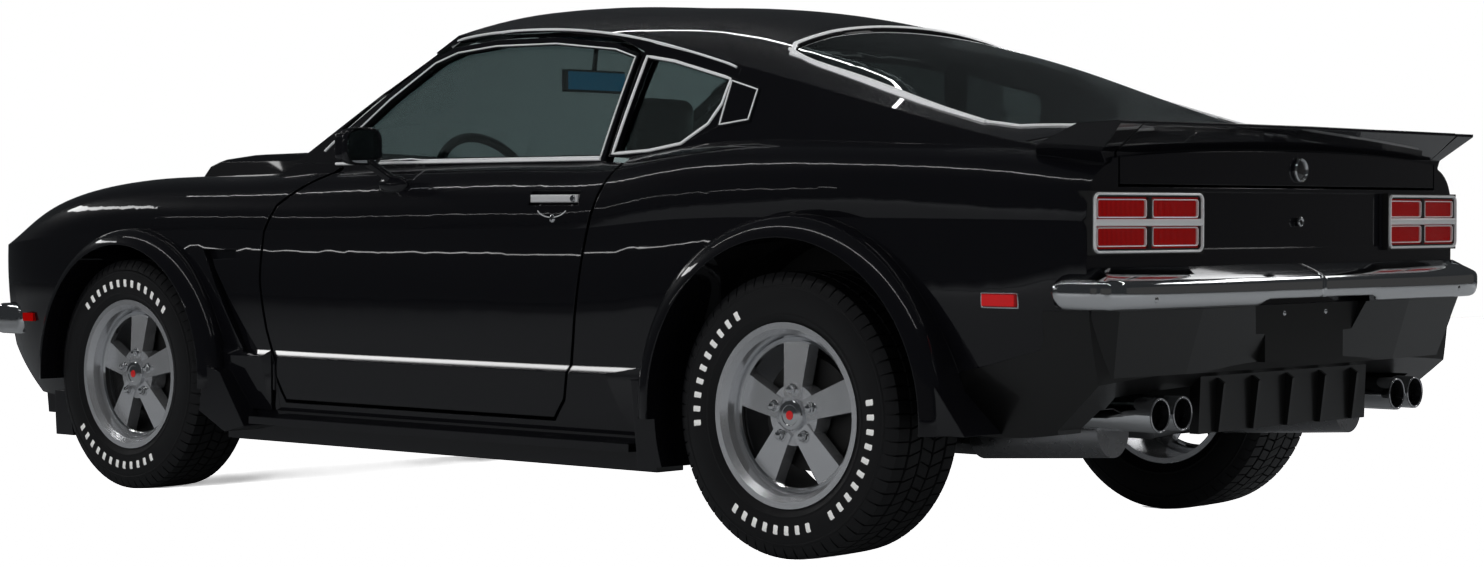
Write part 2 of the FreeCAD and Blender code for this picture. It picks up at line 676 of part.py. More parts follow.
def build_engine():
    block = wide_box(2130, 2800, 230, 290, 780)
    gearbox = wide_box(1500, 2130, 100, 262, 392)
    mounts = wide_box(2440, 2560, 240, 262, 300)
    return fuse([block, gearbox, mounts])


def build_driveline():
    return rod((110, 0, HUB_HEIGHT), (1500, 0, HUB_HEIGHT), 34)


def tunnel_inside():
    inner = TUNNEL_HALF_WIDTH - TUNNEL_WALL
    return wide_box(KICK_UP_X - 10, FIREWALL_X + 20, inner, 0, TUNNEL_TOP - TUNNEL_WALL)


def build_boot_floor():
    half_width = WELL_INNER_REAR - 8
    floor = wide_box(-740, KICK_UP_X + 24, half_width, BOOT_FLOOR_BOTTOM, BOOT_FLOOR_TOP)
    riser = wide_box(KICK_UP_X, KICK_UP_X + 24, 700, FLOOR_BOTTOM, BOOT_FLOOR_BOTTOM)
    return [floor, riser.cut(tunnel_inside())]


def build_wheelhouse():
    drum = wheel_drum(0, ARCH_REAR + 8, WELL_INNER_REAR - 8, 738).cut(wheel_drum(0, ARCH_REAR, WELL_INNER_REAR, REACH))
    return drum.cut([box(-900, 900, 0, REACH, -200, 300), box(-900, 900, 0, WELL_INNER_REAR, 0, BOOT_FLOOR_BOTTOM)])


def build_bulkhead():
    wall = wide_box(30, 60, WELL_INNER_REAR - 8, BOOT_FLOOR_TOP, 880)
    shelf = wide_box(-480, 60, 590, 870, 886)
    return fuse([wall, shelf])


def build_fuel_tank():
    tank = wide_box(-600, -190, 300, 290, BOOT_FLOOR_BOTTOM)
    return tank.makeFillet(24, [edge for edge in tank.Edges if edge.CenterOfMass.z < 380])


# Cabin

def build_seat():
    cushion = box(820, 1340, 156, 616, 330, 480)
    cushion = cushion.makeFillet(40, [edge for edge in cushion.Edges if edge.CenterOfMass.z > 470])
    back = side_prism(((820, 330), (940, 330), (900, 900), (800, 900)), 162, 610)
    head = side_prism(((800, 890), (890, 890), (905, 1085), (840, 1100)), 262, 500)
    base = box(860, 1300, 190, 570, FLOOR_TOP, 340)
    return fuse([cushion, back, head, base])


def build_rear_seat():
    cushion = wide_box(200, 640, 560, BOOT_FLOOR_TOP, 570)
    back = side_prism(((60, BOOT_FLOOR_TOP), (220, BOOT_FLOOR_TOP), (150, 860), (60, 860)), -560, 560)
    return fuse([cushion, back])


def steering_line():
    lean = math.radians(24)
    return Vector(1490, 370, 826), Vector(-math.cos(lean), 0, math.sin(lean))


def build_steering_wheel():
    centre, axis = steering_line()
    rim = Part.makeTorus(178, 13, centre, axis)
    hub = Part.makeCylinder(42, 46, centre - axis * 40, axis)
    bore = Part.makeCylinder(STEERING_SHAFT_RADIUS + RUNNING, 34, centre - axis * 41, axis)
    down = axis.cross(Vector(0, 1, 0))
    if down.z > 0:
        down = down * -1
    spokes = [Part.makeCylinder(9, 172, centre, direction) for direction in (Vector(0, 1, 0), Vector(0, -1, 0), down)]
    return fuse([rim, hub] + spokes).cut(bore)


def build_dashboard():
    body = side_prism(((1700, 640), (1600, 700), (1590, 850), (1650, 908), (1900, 915), (FIREWALL_X, 880),
                       (FIREWALL_X, 640)), -640, 640)
    centre, axis = steering_line()
    column = Part.makeCylinder(24, 150, centre - axis * 196, axis)
    shaft = Part.makeCylinder(STEERING_SHAFT_RADIUS, 60, centre - axis * 70, axis)
    return fuse([body, column, shaft])


def build_interior_mirror():
    head = box(1450, 1476, -118, 118, 1120, 1182)
    head = head.makeFillet(10, [edge for edge in head.Edges if abs(edge.CenterOfMass.y) > 100])
    stem = rod((1464, 0, 1160), (1450, 0, 1256), 7)
    return fuse([head, stem])


# Bumpers, lamps and the two ends of the car

def build_rear_bumper(skin):
    outline = both_halves(((-700, 832), (-800, 813), (-850, 747), (-868, 400), (-872, 0)))
    bar = top_prism(outline, 577, 667)
    slope = side_prism(((-900, 560), (-900, 618), (-868, 636), (-806, 667), (-600, 667), (-600, 560)), -REACH, REACH)
    notch = front_prism(((-256, 560), (256, 560), (236, 592), (-236, 592)), -900, TAIL_X)
    return bar.common(slope).cut([skin, notch])


def build_front_bumper(skin):
    outline = both_halves(((3115, 762), (3240, 752), (3286, 720), (3334, 500), (3352, 0)))
    return top_prism(outline, 420, 510).cut([skin, side_prism(NOSE_UNDERCUT, -REACH, REACH)])


def slanted_shell(high, low, z_high, z_low):
    wires = []
    for outline, z in ((high, z_high), (low, z_low)):
        wires.append(polygon([Vector(x, y, z) for x, y in both_halves(outline)]))
    return Part.makeLoft(wires, True, True)


def build_rear_cover(side_part):
    # the cover under the bumper, its number plate panel, and the diffuser with its fins
    outer = slanted_shell(((-640, 778), (-770, 774), (-815, 735), (-838, 450), (-842, 0)),
                          ((-640, 752), (-742, 746), (-776, 700), (-793, 450), (-796, 0)), 576, 432)
    inner = slanted_shell(((-600, 740), (-745, 735), (-778, 700), (-798, 440), (-803, 0)),
                          ((-600, 714), (-712, 708), (-738, 670), (-753, 430), (-757, 0)), 580, 428)
    plate_recess = front_prism(((-170, 440), (170, 440), (250, 590), (-250, 590)), -900, -820)
    plate_panel = wide_box(-820, -770, 170, 448, 590)
    undercut = side_prism(COVER_UNDERCUT, -REACH, REACH)
    blade = side_prism(((-745, 440), (-774, 440), (-768, 295), (-745, 295)), -360, 360)
    fins = []
    for index in range(-2, 3):
        fins.append(side_prism(((-792, 405), (-760, 425), (-760, 296), (-778, 296)), index * 145 - 5, index * 145 + 5))
    shell = fuse([side_part, outer.cut(inner)]).cut([undercut, plate_recess])
    return fuse([shell, plate_panel.common(box(-820, -770, -REACH, REACH, 448, 576)), blade] + fins)


def build_tail_lamps():
    # rim, cross bar and post round four red glasses on each side, following the bowed tail
    block = box(-900, -700, LAMP_Y[0], LAMP_Y[1], LAMP_Z[0], LAMP_Z[1])
    columns = ((LAMP_Y[0] + LAMP_RIM, LAMP_POST_Y[0]), (LAMP_POST_Y[1], LAMP_Y[1] - LAMP_RIM))
    rows = ((LAMP_Z[0] + LAMP_RIM, LAMP_BAR_Z[0]), (LAMP_BAR_Z[1], LAMP_Z[1] - LAMP_RIM))
    cells = [box(-900, -700, y0, y1, z0, z1) for y0, y1 in columns for z0, z1 in rows]
    pocket = behind_tail(LAMP_POCKET)
    bezel = block.common(pocket).cut([behind_tail(-BEZEL_PROUD)] + cells)
    lenses = Part.makeCompound([cell.common(pocket).cut(behind_tail(-LENS_PROUD)) for cell in cells])
    return Part.makeCompound(pair([bezel])), Part.makeCompound(pair([lenses]))


def build_tail_panel(panel):
    # the field between the lamps is set back, with the boot lock in its middle
    field = wide_box(TAIL_X - 50, TAIL_X + 50, TAIL_RECESS_HALF_WIDTH, TAIL_RECESS_Z[0], TAIL_RECESS_Z[1])
    lock = rod((TAIL_X - 4, 0, 762), (TAIL_X + 20, 0, 762), 11)
    return fuse([panel.cut(field.common(behind_tail(TAIL_RECESS))), lock])


def grille_opening():
    return front_prism(((-620, 530), (620, 530), (620, 680), (-620, 680)), 3150, 3400)


def build_headlamps():
    return Part.makeCompound(pair([rod((3212, 530, 605), (3258, 530, 605), 72)]))


def build_grille():
    pieces = [wide_box(3204, 3212, 620, 530, 680)]
    for index in range(5):
        height = 551 + 26 * index
        pieces.append(wide_box(3212, 3234, 620, height, height + 5))
    for y in (-400, 0, 400):
        pieces.append(box(3212, 3228, y - 5, y + 5, 530, 680))
    return fuse(pieces)


def build_nose(nose):
    air_dam = side_prism(((3250, 368), (3262, 400), (3200, 362), (3120, 262), (3105, 197), (3007, 197), (3007, 180),
                          (3161, 180), (3172, 262)), -640, 640)
    return fuse([nose.cut(grille_opening()), air_dam])


def build_side_markers():
    rear = box(-594, -508, 760, 799, 583, 608)
    front = box(3030, 3082, 720, 786, 462, 486)
    return [rear, front]


def build_sill():
    sill = box(470, 2100, 700, 790, SILL_BOTTOM, 262)
    ledge = box(500, 1925, 790, 858, 215, 235)
    return fuse([sill, ledge])


# Everything together

def cut_shell(skin, room):
    front_well = wheel_drum(WHEELBASE, ARCH_FRONT, WELL_INNER_FRONT, REACH)
    wells = [front_well, wheel_drum(0, ARCH_REAR, WELL_INNER_REAR, REACH)]
    hood_hole = wide_box(HOOD_REAR_X - HOOD_REAR_GAP, HOOD_FRONT_X + GAP, HOOD_HALF_WIDTH + GAP, 600, SKY)
    lid_hole = wide_box(-900, LID_FRONT_X + LID_FRONT_GAP, LID_HALF_WIDTH + GAP, LID_BOTTOM - GAP, SKY)
    rear_hole = top_prism(both_halves(REAR_GLASS[::-1]), 940, SKY)
    screen_hole = front_prism(SCREEN_OPENING, 1330, 2300)
    pierced = pair(wells + [door_plug(GAP / 2, GAP / 2), side_prism(QUARTER_GLASS, FLANK_Y, REACH)])
    shell = skin.cut(room).cut(pierced + [hood_hole, lid_hole, rear_hole, screen_hole])
    outer = cabin_top(PANE_INSET, PANE_INSET)
    rear_window = outer.common(rear_hole).cut(cabin_top(PANE_INSET + GLASS, PANE_INSET + GLASS))
    screen = outer.common(screen_wedge(PANE_INSET + GLASS)).cut(screen_wedge(PANE_INSET)).common(screen_hole)
    return shell, wells, rear_window, screen


def split_shell(shell):
    # the pressed shell parted along its real seams; the parts no panel takes are returned as the cover's sides
    panels = {}
    roof_zone = side_prism(ROOF_SEAM, -REACH, REACH)
    panels["roof_panel"] = shell.common(roof_zone)
    lower = shell.cut(roof_zone)
    tail_zone = wide_box(-900, -700, LID_HALF_WIDTH, 575, 900)
    panels["tail_panel"] = lower.common(tail_zone)
    lower = lower.cut([tail_zone, wide_box(-700, KICK_UP_X, 640, 0, 440), wide_box(FIREWALL_X, 3200, 600, 0, 600)])
    cover_zone = side_prism(COVER_SEAM, -REACH, REACH)
    cover_side = lower.common(cover_zone)
    floor_zone = wide_box(KICK_UP_X, FIREWALL_X, 700, 0, 280)
    panels["floor_pan"] = lower.common(floor_zone)
    cowl_zone = wide_box(1500, HOOD_REAR_X - HOOD_REAR_GAP, HOOD_HALF_WIDTH + GAP, 600, SKY)
    panels["cowl"] = lower.common(cowl_zone)
    nose_zone = wide_box(NOSE_SEAM_X, 3400, REACH, 0, SKY)
    panels["nose_panel"] = lower.common(nose_zone)
    lower = lower.cut([cover_zone, floor_zone, cowl_zone, nose_zone])
    fender_zone = side_prism(FENDER_SEAM, -REACH, REACH)
    left_half = box(-1000, 4000, 0, REACH, 0, SKY)
    panels["fender_left"] = lower.common(fender_zone).common(left_half)
    panels["quarter_panel_left"] = lower.cut(fender_zone).common(left_half)
    return panels, cover_side


def finish_sides(nodes, room, wells, sill):
    # arches, hinge pins and pockets go on the left panels, and the right ones mirror them
    fender = fuse([nodes["fender_left"]] + [piece.cut(room) for piece in front_arch_pieces()] + door_hinge_pins())
    quarter = fuse([nodes["quarter_panel_left"]] + [piece.cut(room) for piece in rear_arch_pieces()] + [spoiler_end()])
    fender = fender.cut([wells[0], sill, vent_pocket()])
    quarter = quarter.cut([wells[1], sill])
    for name, panel in (("fender", fender), ("quarter_panel", quarter)):
        nodes[name + "_left"] = panel
        nodes[name + "_right"] = mirrored(panel)
    pins = lid_hinge_pins()
    half = len(pins) // 2
    nodes["quarter_panel_right"] = fuse([nodes["quarter_panel_right"]] + pins[:half])
    nodes["quarter_panel_left"] = fuse([nodes["quarter_panel_left"]] + pins[half:])


def add_doors(nodes, skin, room):
    door, handle = build_door(skin, room)
    door_glass, quarter_glass = side_glass()
    for name, piece in (("door", door), ("door_handle", handle), ("door_glass", door_glass)):
        nodes[name + "_left"] = piece
        nodes[name + "_right"] = mirrored(piece)
    nodes["quarter_glass"] = Part.makeCompound(pair([quarter_glass]))


# Which piece gives way where two meet: the first is cut by the others
TRIMS = (
    ("cowl", ("sills", "fender_left", "fender_right", "floor_pan")),
    ("nose_panel", ("headlamps", "grille", "fender_left", "fender_right")),
    ("grille", ("headlamps",)),
    ("engine_bay", ("fender_left", "fender_right", "cowl", "front_suspension", "floor_pan", "nose_panel", "grille")),
    ("front_bumper", ("nose_panel", "fender_left", "fender_right")),
    ("tail_panel", ("tail_lamp_bezels", "tail_lamp_lenses", "quarter_panel_left", "quarter_panel_right")),
    ("rear_valance", ("tail_panel", "quarter_panel_left", "quarter_panel_right", "exhaust")),
    ("quarter_panel_left", ("tail_lamp_bezels", "tail_lamp_lenses", "exhaust", "side_markers")),
    ("quarter_panel_right", ("tail_lamp_bezels", "tail_lamp_lenses", "exhaust", "side_markers")),
    ("fender_left", ("side_markers",)),
    ("fender_right", ("side_markers",)),
    ("rear_bumper", ("quarter_panel_left", "quarter_panel_right", "tail_panel", "rear_valance")),
    ("wheelhouses", ("quarter_panel_left", "quarter_panel_right", "floor_pan", "rear_valance")),
    ("floor_pan", ("quarter_panel_left", "quarter_panel_right", "rear_valance")),
    ("front_seats", ("floor_pan",)),
    ("exhaust", ("engine",)),
    ("interior_mirror", ("roof_panel", "windshield")),
    ("rear_axle", ("floor_pan",)),
    ("driveline", ("engine", "rear_axle")),
    ("rear_seat", ("rear_bulkhead",)),
    ("rear_bulkhead", ("quarter_panel_left", "quarter_panel_right")),
    ("dashboard", ("fender_left", "fender_right", "cowl")),
)


def build_all():
    skin, room = build_body()
    shell, wells, rear_window, windshield = cut_shell(skin, room)
    nodes, cover_side = split_shell(shell)
    sill = build_sill()
    finish_sides(nodes, room, wells, sill)
    add_doors(nodes, skin, room)
    nodes["hood"] = build_hood(skin)
    nodes["trunk_lid"] = build_lid(skin)
    nodes["rear_window"] = rear_window
    nodes["windshield"] = windshield
    plate = cabin_top(-3, 0).cut(cabin_top(0, 0)).common(side_prism(PILLAR_PLATE, FLANK_Y, REACH))
    nodes["roof_panel"] = fuse([nodes["roof_panel"]] + pair([plate]))
    nodes["tail_panel"] = build_tail_panel(nodes["tail_panel"])
    nodes["nose_panel"] = build_nose(nodes["nose_panel"])
    nodes["rear_valance"] = build_rear_cover(cover_side)
    tunnel = wide_box(KICK_UP_X, FIREWALL_X, TUNNEL_HALF_WIDTH, FLOOR_BOTTOM, TUNNEL_TOP)
    floor = fuse([nodes["floor_pan"], tunnel]).cut([tunnel_inside()] + pair([sill]))
    nodes["floor_pan"] = fuse([floor] + build_boot_floor())
    nodes["sills"] = Part.makeCompound(pair([sill]))
    add_wheels(nodes, "front", WHEELBASE, RIM_FACE_FRONT, TYRE_WIDTH_FRONT)
    add_wheels(nodes, "rear", 0, RIM_FACE_REAR, TYRE_WIDTH_REAR)
    nodes["knuckle_left"] = build_knuckle()
    nodes["knuckle_right"] = mirrored(nodes["knuckle_left"])
    nodes["front_suspension"] = build_front_suspension()
    nodes["rear_axle"] = build_rear_axle()
    nodes["exhaust"] = build_exhaust()
    nodes["engine_bay"] = build_engine_bay()
    nodes["engine"] = build_engine()
    nodes["driveline"] = build_driveline()
    nodes["fuel_tank"] = build_fuel_tank()
    nodes["wheelhouses"] = Part.makeCompound(pair([build_wheelhouse()]))
    nodes["rear_bulkhead"] = build_bulkhead()
    nodes["front_seats"] = Part.makeCompound(pair([build_seat()]))
    nodes["rear_seat"] = build_rear_seat()
    nodes["steering_wheel"] = build_steering_wheel()
    nodes["dashboard"] = build_dashboard()
    nodes["interior_mirror"] = build_interior_mirror()
    nodes["rear_bumper"] = build_rear_bumper(skin)
    nodes["front_bumper"] = build_front_bumper(skin)
    nodes["grille"] = build_grille()
    nodes["headlamps"] = build_headlamps()
    nodes["side_markers"] = Part.makeCompound(pair(build_side_markers()))
    nodes["tail_lamp_bezels"], nodes["tail_lamp_lenses"] = build_tail_lamps()
    for name, others in TRIMS:
        nodes[name] = nodes[name].cut([nodes[other] for other in others])
    return nodes


for node, shape in build_all().items():
    piece = without_offcuts(shape)
    piece.translate(Vector(CENTRE_SHIFT, 0, 0))
    piece.exportStep("parts/" + node + ".step")
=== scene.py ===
import json
import math

import bpy
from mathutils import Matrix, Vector
from mathutils.bvhtree import BVHTree


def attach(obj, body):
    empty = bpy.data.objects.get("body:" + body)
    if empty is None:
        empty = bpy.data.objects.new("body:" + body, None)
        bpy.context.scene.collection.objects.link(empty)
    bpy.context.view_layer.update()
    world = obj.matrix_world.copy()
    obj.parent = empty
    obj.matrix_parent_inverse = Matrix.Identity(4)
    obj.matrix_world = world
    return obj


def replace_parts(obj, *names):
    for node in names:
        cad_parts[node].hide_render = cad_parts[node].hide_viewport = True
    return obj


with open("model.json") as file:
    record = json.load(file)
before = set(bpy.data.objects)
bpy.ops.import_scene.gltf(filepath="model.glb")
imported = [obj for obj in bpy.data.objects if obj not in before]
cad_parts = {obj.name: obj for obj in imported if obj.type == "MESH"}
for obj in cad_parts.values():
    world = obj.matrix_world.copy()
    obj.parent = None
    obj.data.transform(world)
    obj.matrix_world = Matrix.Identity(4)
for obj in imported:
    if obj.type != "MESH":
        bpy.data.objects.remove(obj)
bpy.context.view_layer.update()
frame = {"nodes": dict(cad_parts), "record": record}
nodes = frame["nodes"]

# Sizes and places in metres, in the frame's own axes: X forward, Y left, Z up, ground at 0
REAR_AXLE_X = -1.24
WHEELBASE = 2.5
HUB_HEIGHT = 0.326
RIM_RADIUS = 0.205
TYRE_RADIUS = 0.326
RIM_FACE = {"front": 0.832, "rear": 0.869}
TYRE_WIDTH = {"front": 0.216, "rear": 0.252}
SIDEWALL_BULGE = 0.012
TAIL_BEHIND_AXLE = 0.802
PANEL_BOW = 0.058
AXLE_X = {"front": REAR_AXLE_X + WHEELBASE, "rear": REAR_AXLE_X}
SIDES = {"left": 1, "right": -1}

# Bright mouldings: half the width of each, and how far it stands proud
QUARTER_TRIM = (0.004, 0.004)
PLATE_TRIM = (0.002, 0.0025)
DOOR_TRIM = (0.002, 0.003)
BELT_TRIM = (0.004, 0.005)
DRIP_TRIM = (0.003, 0.005)
BOWL_TRIM = (0.0016, 0.0016)
MARKER_TRIM = (0.0025, 0.002)
PANE_TRIM = (0.0015, 0.004)
LAMP_TRIM = (0.0032, 0.006)
LAMP_BAR_TRIM = (0.0075, 0.006)
REAR_WINDOW_TRIM = (0.006, 0.005)
REAR_BAND_TRIM = (0.004, 0.006)
GRILLE_TRIM = (0.006, 0.004)

# Tail lamps: their panes across and up, the corners of their frame, and how far back each stands
LAMP_COLUMNS = ((0.416, 0.588), (0.600, 0.773))
LAMP_ROWS = ((0.707, 0.756), (0.768, 0.816))
LAMP_FRAME = ((0.409, 0.700), (0.780, 0.823))
PANE_PROUD = 0.010
LAMP_PROUD = 0.0135

# Raised white bars on the tyres: for each run, the angle of its first bar and how many bars it has.
# Angles are in degrees round the tyre from its top
TYRE_MARKS = {"front": ((-46, 13), (126, 12)), "rear": ((29, 10), (145, 8), (212, 10))}
MARK_PITCH = 7.2
MARK_SPAN = 4.6
MARK_RADII = (0.2455, 0.2715)
MARK_HEIGHT = 0.0008
MARK_EDGE_SUNK = 0.001

# Pads of the seats before they are filled: ahead of the rear axle, across, and up
FRONT_CUSHION = ((0.86, 1.33), (0.170, 0.602), (0.350, 0.468))
FRONT_BACKREST = ((0.83, 0.915), (0.178, 0.594), (0.350, 0.885))
HEADREST = ((0.812, 0.878), (0.270, 0.492), (0.905, 1.075))
REAR_CUSHION = ((0.215, 0.625), (-0.545, 0.545), (0.492, 0.562))
REAR_BACKREST = ((0.075, 0.165), (-0.545, 0.545), (0.500, 0.850))
FRONT_CHANNELS = (0.27, 0.328, 0.386, 0.444, 0.502)
REAR_CHANNELS = [0.11 * step for step in range(-4, 5)]

# The camera of the photograph, solved from the wheel circles and mirrored corners
CAMERA_PLACE = (-5.50302, 5.77552, 0.78055)
CAMERA_YAW = -0.840768
CAMERA_PITCH = -0.0240915
LENS_MM = 70.1
SENSOR_MM = 36


def ahead(distance):
    # metres ahead of the rear axle to the frame's own X
    return REAR_AXLE_X + distance


def door_body(side):
    return "door_%s_body" % side


def wheel_body(axle, side):
    return "wheel_%s_%s_body" % (axle, side)


# Materials

def new_material(name):
    material = bpy.data.materials.new(name)
    material.use_nodes = True
    return material


def inputs_of(material):
    return material.node_tree.nodes["Principled BSDF"].inputs


def plain(name, colour, roughness, metallic=0.0, coat=0.0):
    material = new_material(name)
    inputs = inputs_of(material)
    inputs["Base Color"].default_value = (*colour, 1)
    inputs["Roughness"].default_value = roughness
    inputs["Metallic"].default_value = metallic
    inputs["Coat Weight"].default_value = coat
    inputs["Coat Roughness"].default_value = 0.02
    return material


def round_edges(material, radius):
    # softens hard edges in shading, so that creases and gaps catch the light as pressed steel does
    tree = material.node_tree
    bevel = tree.nodes.new("ShaderNodeBevel")
    bevel.samples = 4
    bevel.inputs["Radius"].default_value = radius
    for name in ("Normal", "Coat Normal"):
        tree.links.new(bevel.outputs["Normal"], inputs_of(material)[name])


def noise_texture(material, scale):
    tree = material.node_tree
    place = tree.nodes.new("ShaderNodeTexCoord")
    noise = tree.nodes.new("ShaderNodeTexNoise")
    noise.inputs["Scale"].default_value = scale
    tree.links.new(place.outputs["Object"], noise.inputs["Vector"])
    return noise


def rough_from_noise(material, scale, low, high):
    tree = material.node_tree
    noise = noise_texture(material, scale)
    spread = tree.nodes.new("ShaderNodeMapRange")
    spread.inputs["To Min"].default_value = low
    spread.inputs["To Max"].default_value = high
    tree.links.new(noise.outputs["Fac"], spread.inputs["Value"])
    tree.links.new(spread.outputs["Result"], inputs_of(material)["Roughness"])


def bump_from_noise(material, scale, depth):
    tree = material.node_tree
    noise = noise_texture(material, scale)
    bump = tree.nodes.new("ShaderNodeBump")
    bump.inputs["Distance"].default_value = depth
    tree.links.new(noise.outputs["Fac"], bump.inputs["Height"])
    tree.links.new(bump.outputs["Normal"], inputs_of(material)["Normal"])


def body_paint():
    material = plain("black_paint", (0.003, 0.003, 0.004), 0.3, coat=1.0)
    inputs_of(material)["Specular IOR Level"].default_value = 0.05
    round_edges(material, 0.003)
    return material


def window_glass(name, tint):
    material = plain(name, tint, 0.0)
    inputs_of(material)["Transmission Weight"].default_value = 1.0
    inputs_of(material)["IOR"].default_value = 1.45
    return material


def headlamp_lens():
    material = plain("headlamp_lens", (0.9, 0.92, 0.94), 0.03)
    inputs_of(material)["Transmission Weight"].default_value = 1.0
    return material


def chrome():
    material = plain("chrome", (0.86, 0.87, 0.88), 0.06, metallic=1.0)
    round_edges(material, 0.003)
    return material


def tyre_rubber():
    material = plain("tyre_rubber", (0.004, 0.004, 0.0045), 0.5)
    bump_from_noise(material, 900, 0.0004)
    return material


def seat_leather():
    material = plain("black_leather", (0.012, 0.012, 0.013), 0.42)
    bump_from_noise(material, 350, 0.0008)
    return material


def black_plastic():
    material = plain("black_plastic", (0.007, 0.007, 0.007), 0.5)
    bump_from_noise(material, 700, 0.0003)
    return material


def iron():
    material = plain("iron", (0.03, 0.03, 0.03), 0.6, metallic=0.6)
    rough_from_noise(material, 40, 0.45, 0.8)
    return material


def exhaust_steel():
    material = plain("exhaust_steel", (0.42, 0.42, 0.43), 0.25, metallic=1.0)
    rough_from_noise(material, 25, 0.18, 0.38)
    return material


def blue_mirror():
    # a faint glow, so that its blue coating reads blue even in the dark cabin
    material = plain("blue_mirror", (0.03, 0.40, 0.75), 0.2, metallic=0.2)
    inputs_of(material)["Emission Color"].default_value = (0.02, 0.30, 0.55, 1)
    inputs_of(material)["Emission Strength"].default_value = 0.3
    return material


def red_lens():
    # moulded ribs in the glass, painted with light: bands of bright and dark red along the ribs are painted
    # glowing lines, and a faint painted glow keeps it red in the shade
    material = new_material("red_lens")
    tree = material.node_tree
    link = tree.links.new
    inputs = inputs_of(material)
    place = tree.nodes.new("ShaderNodeTexCoord")
    ribs = tree.nodes.new("ShaderNodeTexWave")
    ribs.bands_direction = "Y"
    ribs.inputs["Scale"].default_value = 75
    ribs.inputs["Distortion"].default_value = 0.0
    # painted light: the colour along the ribs swings between dark and bright red, in the base colour and in
    # the glow
    colour = tree.nodes.new("ShaderNodeValToRGB")
    colour.color_ramp.elements[0].color = (0.09, 0.0005, 0.0005, 1)
    colour.color_ramp.elements[1].color = (0.42, 0.0015, 0.001, 1)
    bump = tree.nodes.new("ShaderNodeBump")
    bump.inputs["Distance"].default_value = 0.002
    link(place.outputs["Object"], ribs.inputs["Vector"])
    link(ribs.outputs["Fac"], colour.inputs["Fac"])
    link(ribs.outputs["Fac"], bump.inputs["Height"])
    link(colour.outputs["Color"], inputs["Base Color"])
    link(colour.outputs["Color"], inputs["Emission Color"])
    link(bump.outputs["Normal"], inputs["Normal"])
    inputs["Emission Strength"].default_value = 0.12
    inputs["Roughness"].default_value = 0.15
    inputs["Specular IOR Level"].default_value = 0.1
    return material


def make_materials():
    return {
        "body_paint": body_paint(),
        "window_glass": window_glass("tinted_glass", (0.215, 0.265, 0.265)),
        "rear_glass": window_glass("dark_tinted_glass", (0.035, 0.042, 0.042)),
        "tyre_rubber": tyre_rubber(),
        "wheel_alloy": plain("satin_alloy", (0.76, 0.77, 0.79), 0.24, metallic=0.85),
        "chrome_trim": chrome(),
        "red_lens": red_lens(),
        "lamp_glass": plain("lamp_reflector", (0.80, 0.81, 0.83), 0.12, metallic=1.0, coat=1.0),
        "seat_leather": seat_leather(),
        "black_plastic": black_plastic(),
        "iron_parts": iron(),
        "exhaust_steel": exhaust_steel(),
        "black_underbody": plain("underbody", (0.006, 0.006, 0.006), 0.7),
        "mirror_glass": plain("mirror_glass", (0.20, 0.21, 0.22), 0.03, metallic=1.0),
        "blue_mirror": blue_mirror(),
        "black_paint_satin": plain("black_paint_satin", (0.002, 0.002, 0.002), 0.35, coat=0.25),
        "black_enamel": plain("black_enamel", (0.01, 0.01, 0.01), 0.15, coat=1.0),
        "satin_chrome": plain("satin_chrome", (0.84, 0.85, 0.86), 0.28, metallic=0.6),
        "red_enamel": plain("red_enamel", (0.55, 0.01, 0.01), 0.25, coat=1.0),
        # bright_trim is a painted reflection: chrome mouldings with a light grey, mostly non-metal finish
        # that stands in for the bright softbox chrome would mirror
        "bright_trim": plain("bright_trim", (0.88, 0.89, 0.90), 0.3, metallic=0.3),
        "marker_red": plain("marker_red", (0.60, 0.008, 0.01), 0.2, coat=0.5),
        "white_rubber": plain("white_rubber", (0.86, 0.86, 0.84), 0.6),
        "bright_alloy": plain("bright_alloy", (0.85, 0.86, 0.87), 0.12, metallic=1.0),
        "headlamp_lens": headlamp_lens(),
    }


def dress_nodes():
    slots = {part["node"]: part["material_slot"] for part in frame["record"]["subparts"]}
    own_finish = {
        "tail_lamp_bezels": "black_enamel",
        "rear_valance": "black_paint_satin",
        "rear_window": "rear_glass",
        "door_handle_left": "satin_chrome",
        "door_handle_right": "satin_chrome",
    }
    for name, obj in nodes.items():
        finish = palette[own_finish.get(name, slots[name])]
        obj.data.materials.clear()
        obj.data.materials.append(finish)
    for side in SIDES:
        round_off(nodes["door_handle_" + side], 0.002)


def round_off(obj, width):
    bevel = obj.modifiers.new("soft_edges", "BEVEL")
    bevel.width = width
    bevel.segments = 3
    bevel.limit_method = "ANGLE"
    bevel.angle_limit = math.radians(24)
    bevel.harden_normals = True


# Meshes: a shape is a pair of vertices and faces

def new_mesh(name, vertices, faces):
    mesh = bpy.data.meshes.new(name)
    mesh.from_pydata([tuple(vertex) for vertex in vertices], [], faces)
    return mesh


def new_object(name, data):
    obj = bpy.data.objects.new(name, data)
    bpy.context.scene.collection.objects.link(obj)
    return obj


def joined(shapes):
    vertices, faces = [], []
    for shape_vertices, shape_faces in shapes:
        base = len(vertices)
        vertices += shape_vertices
        faces += [tuple(base + index for index in face) for face in shape_faces]
    return vertices, faces


def add_piece(name, shapes, slot, body, finish=None, crease=35):
    # the crease is the angle in degrees from which an edge is drawn sharp
    mesh = new_mesh(name, *joined(shapes))
    mesh.materials.append(palette[finish or slot])
    mesh.shade_smooth()
    mesh.set_sharp_from_angle(angle=math.radians(crease))
    piece = new_object(name, mesh)
    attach(piece, body)
    return piece


def add_chrome(name, shapes, body="chassis", finish=None):
    return add_piece(name, shapes, "chrome_trim", body, finish)


def bands(rows, around):
    # the faces between rows of points, where each row goes once round
    faces = []
    for row in range(rows - 1):
        near, far = row * around, (row + 1) * around
        for index in range(around):
            step = (index + 1) % around
            faces.append((near + index, near + step, far + step, far + index))
    return faces


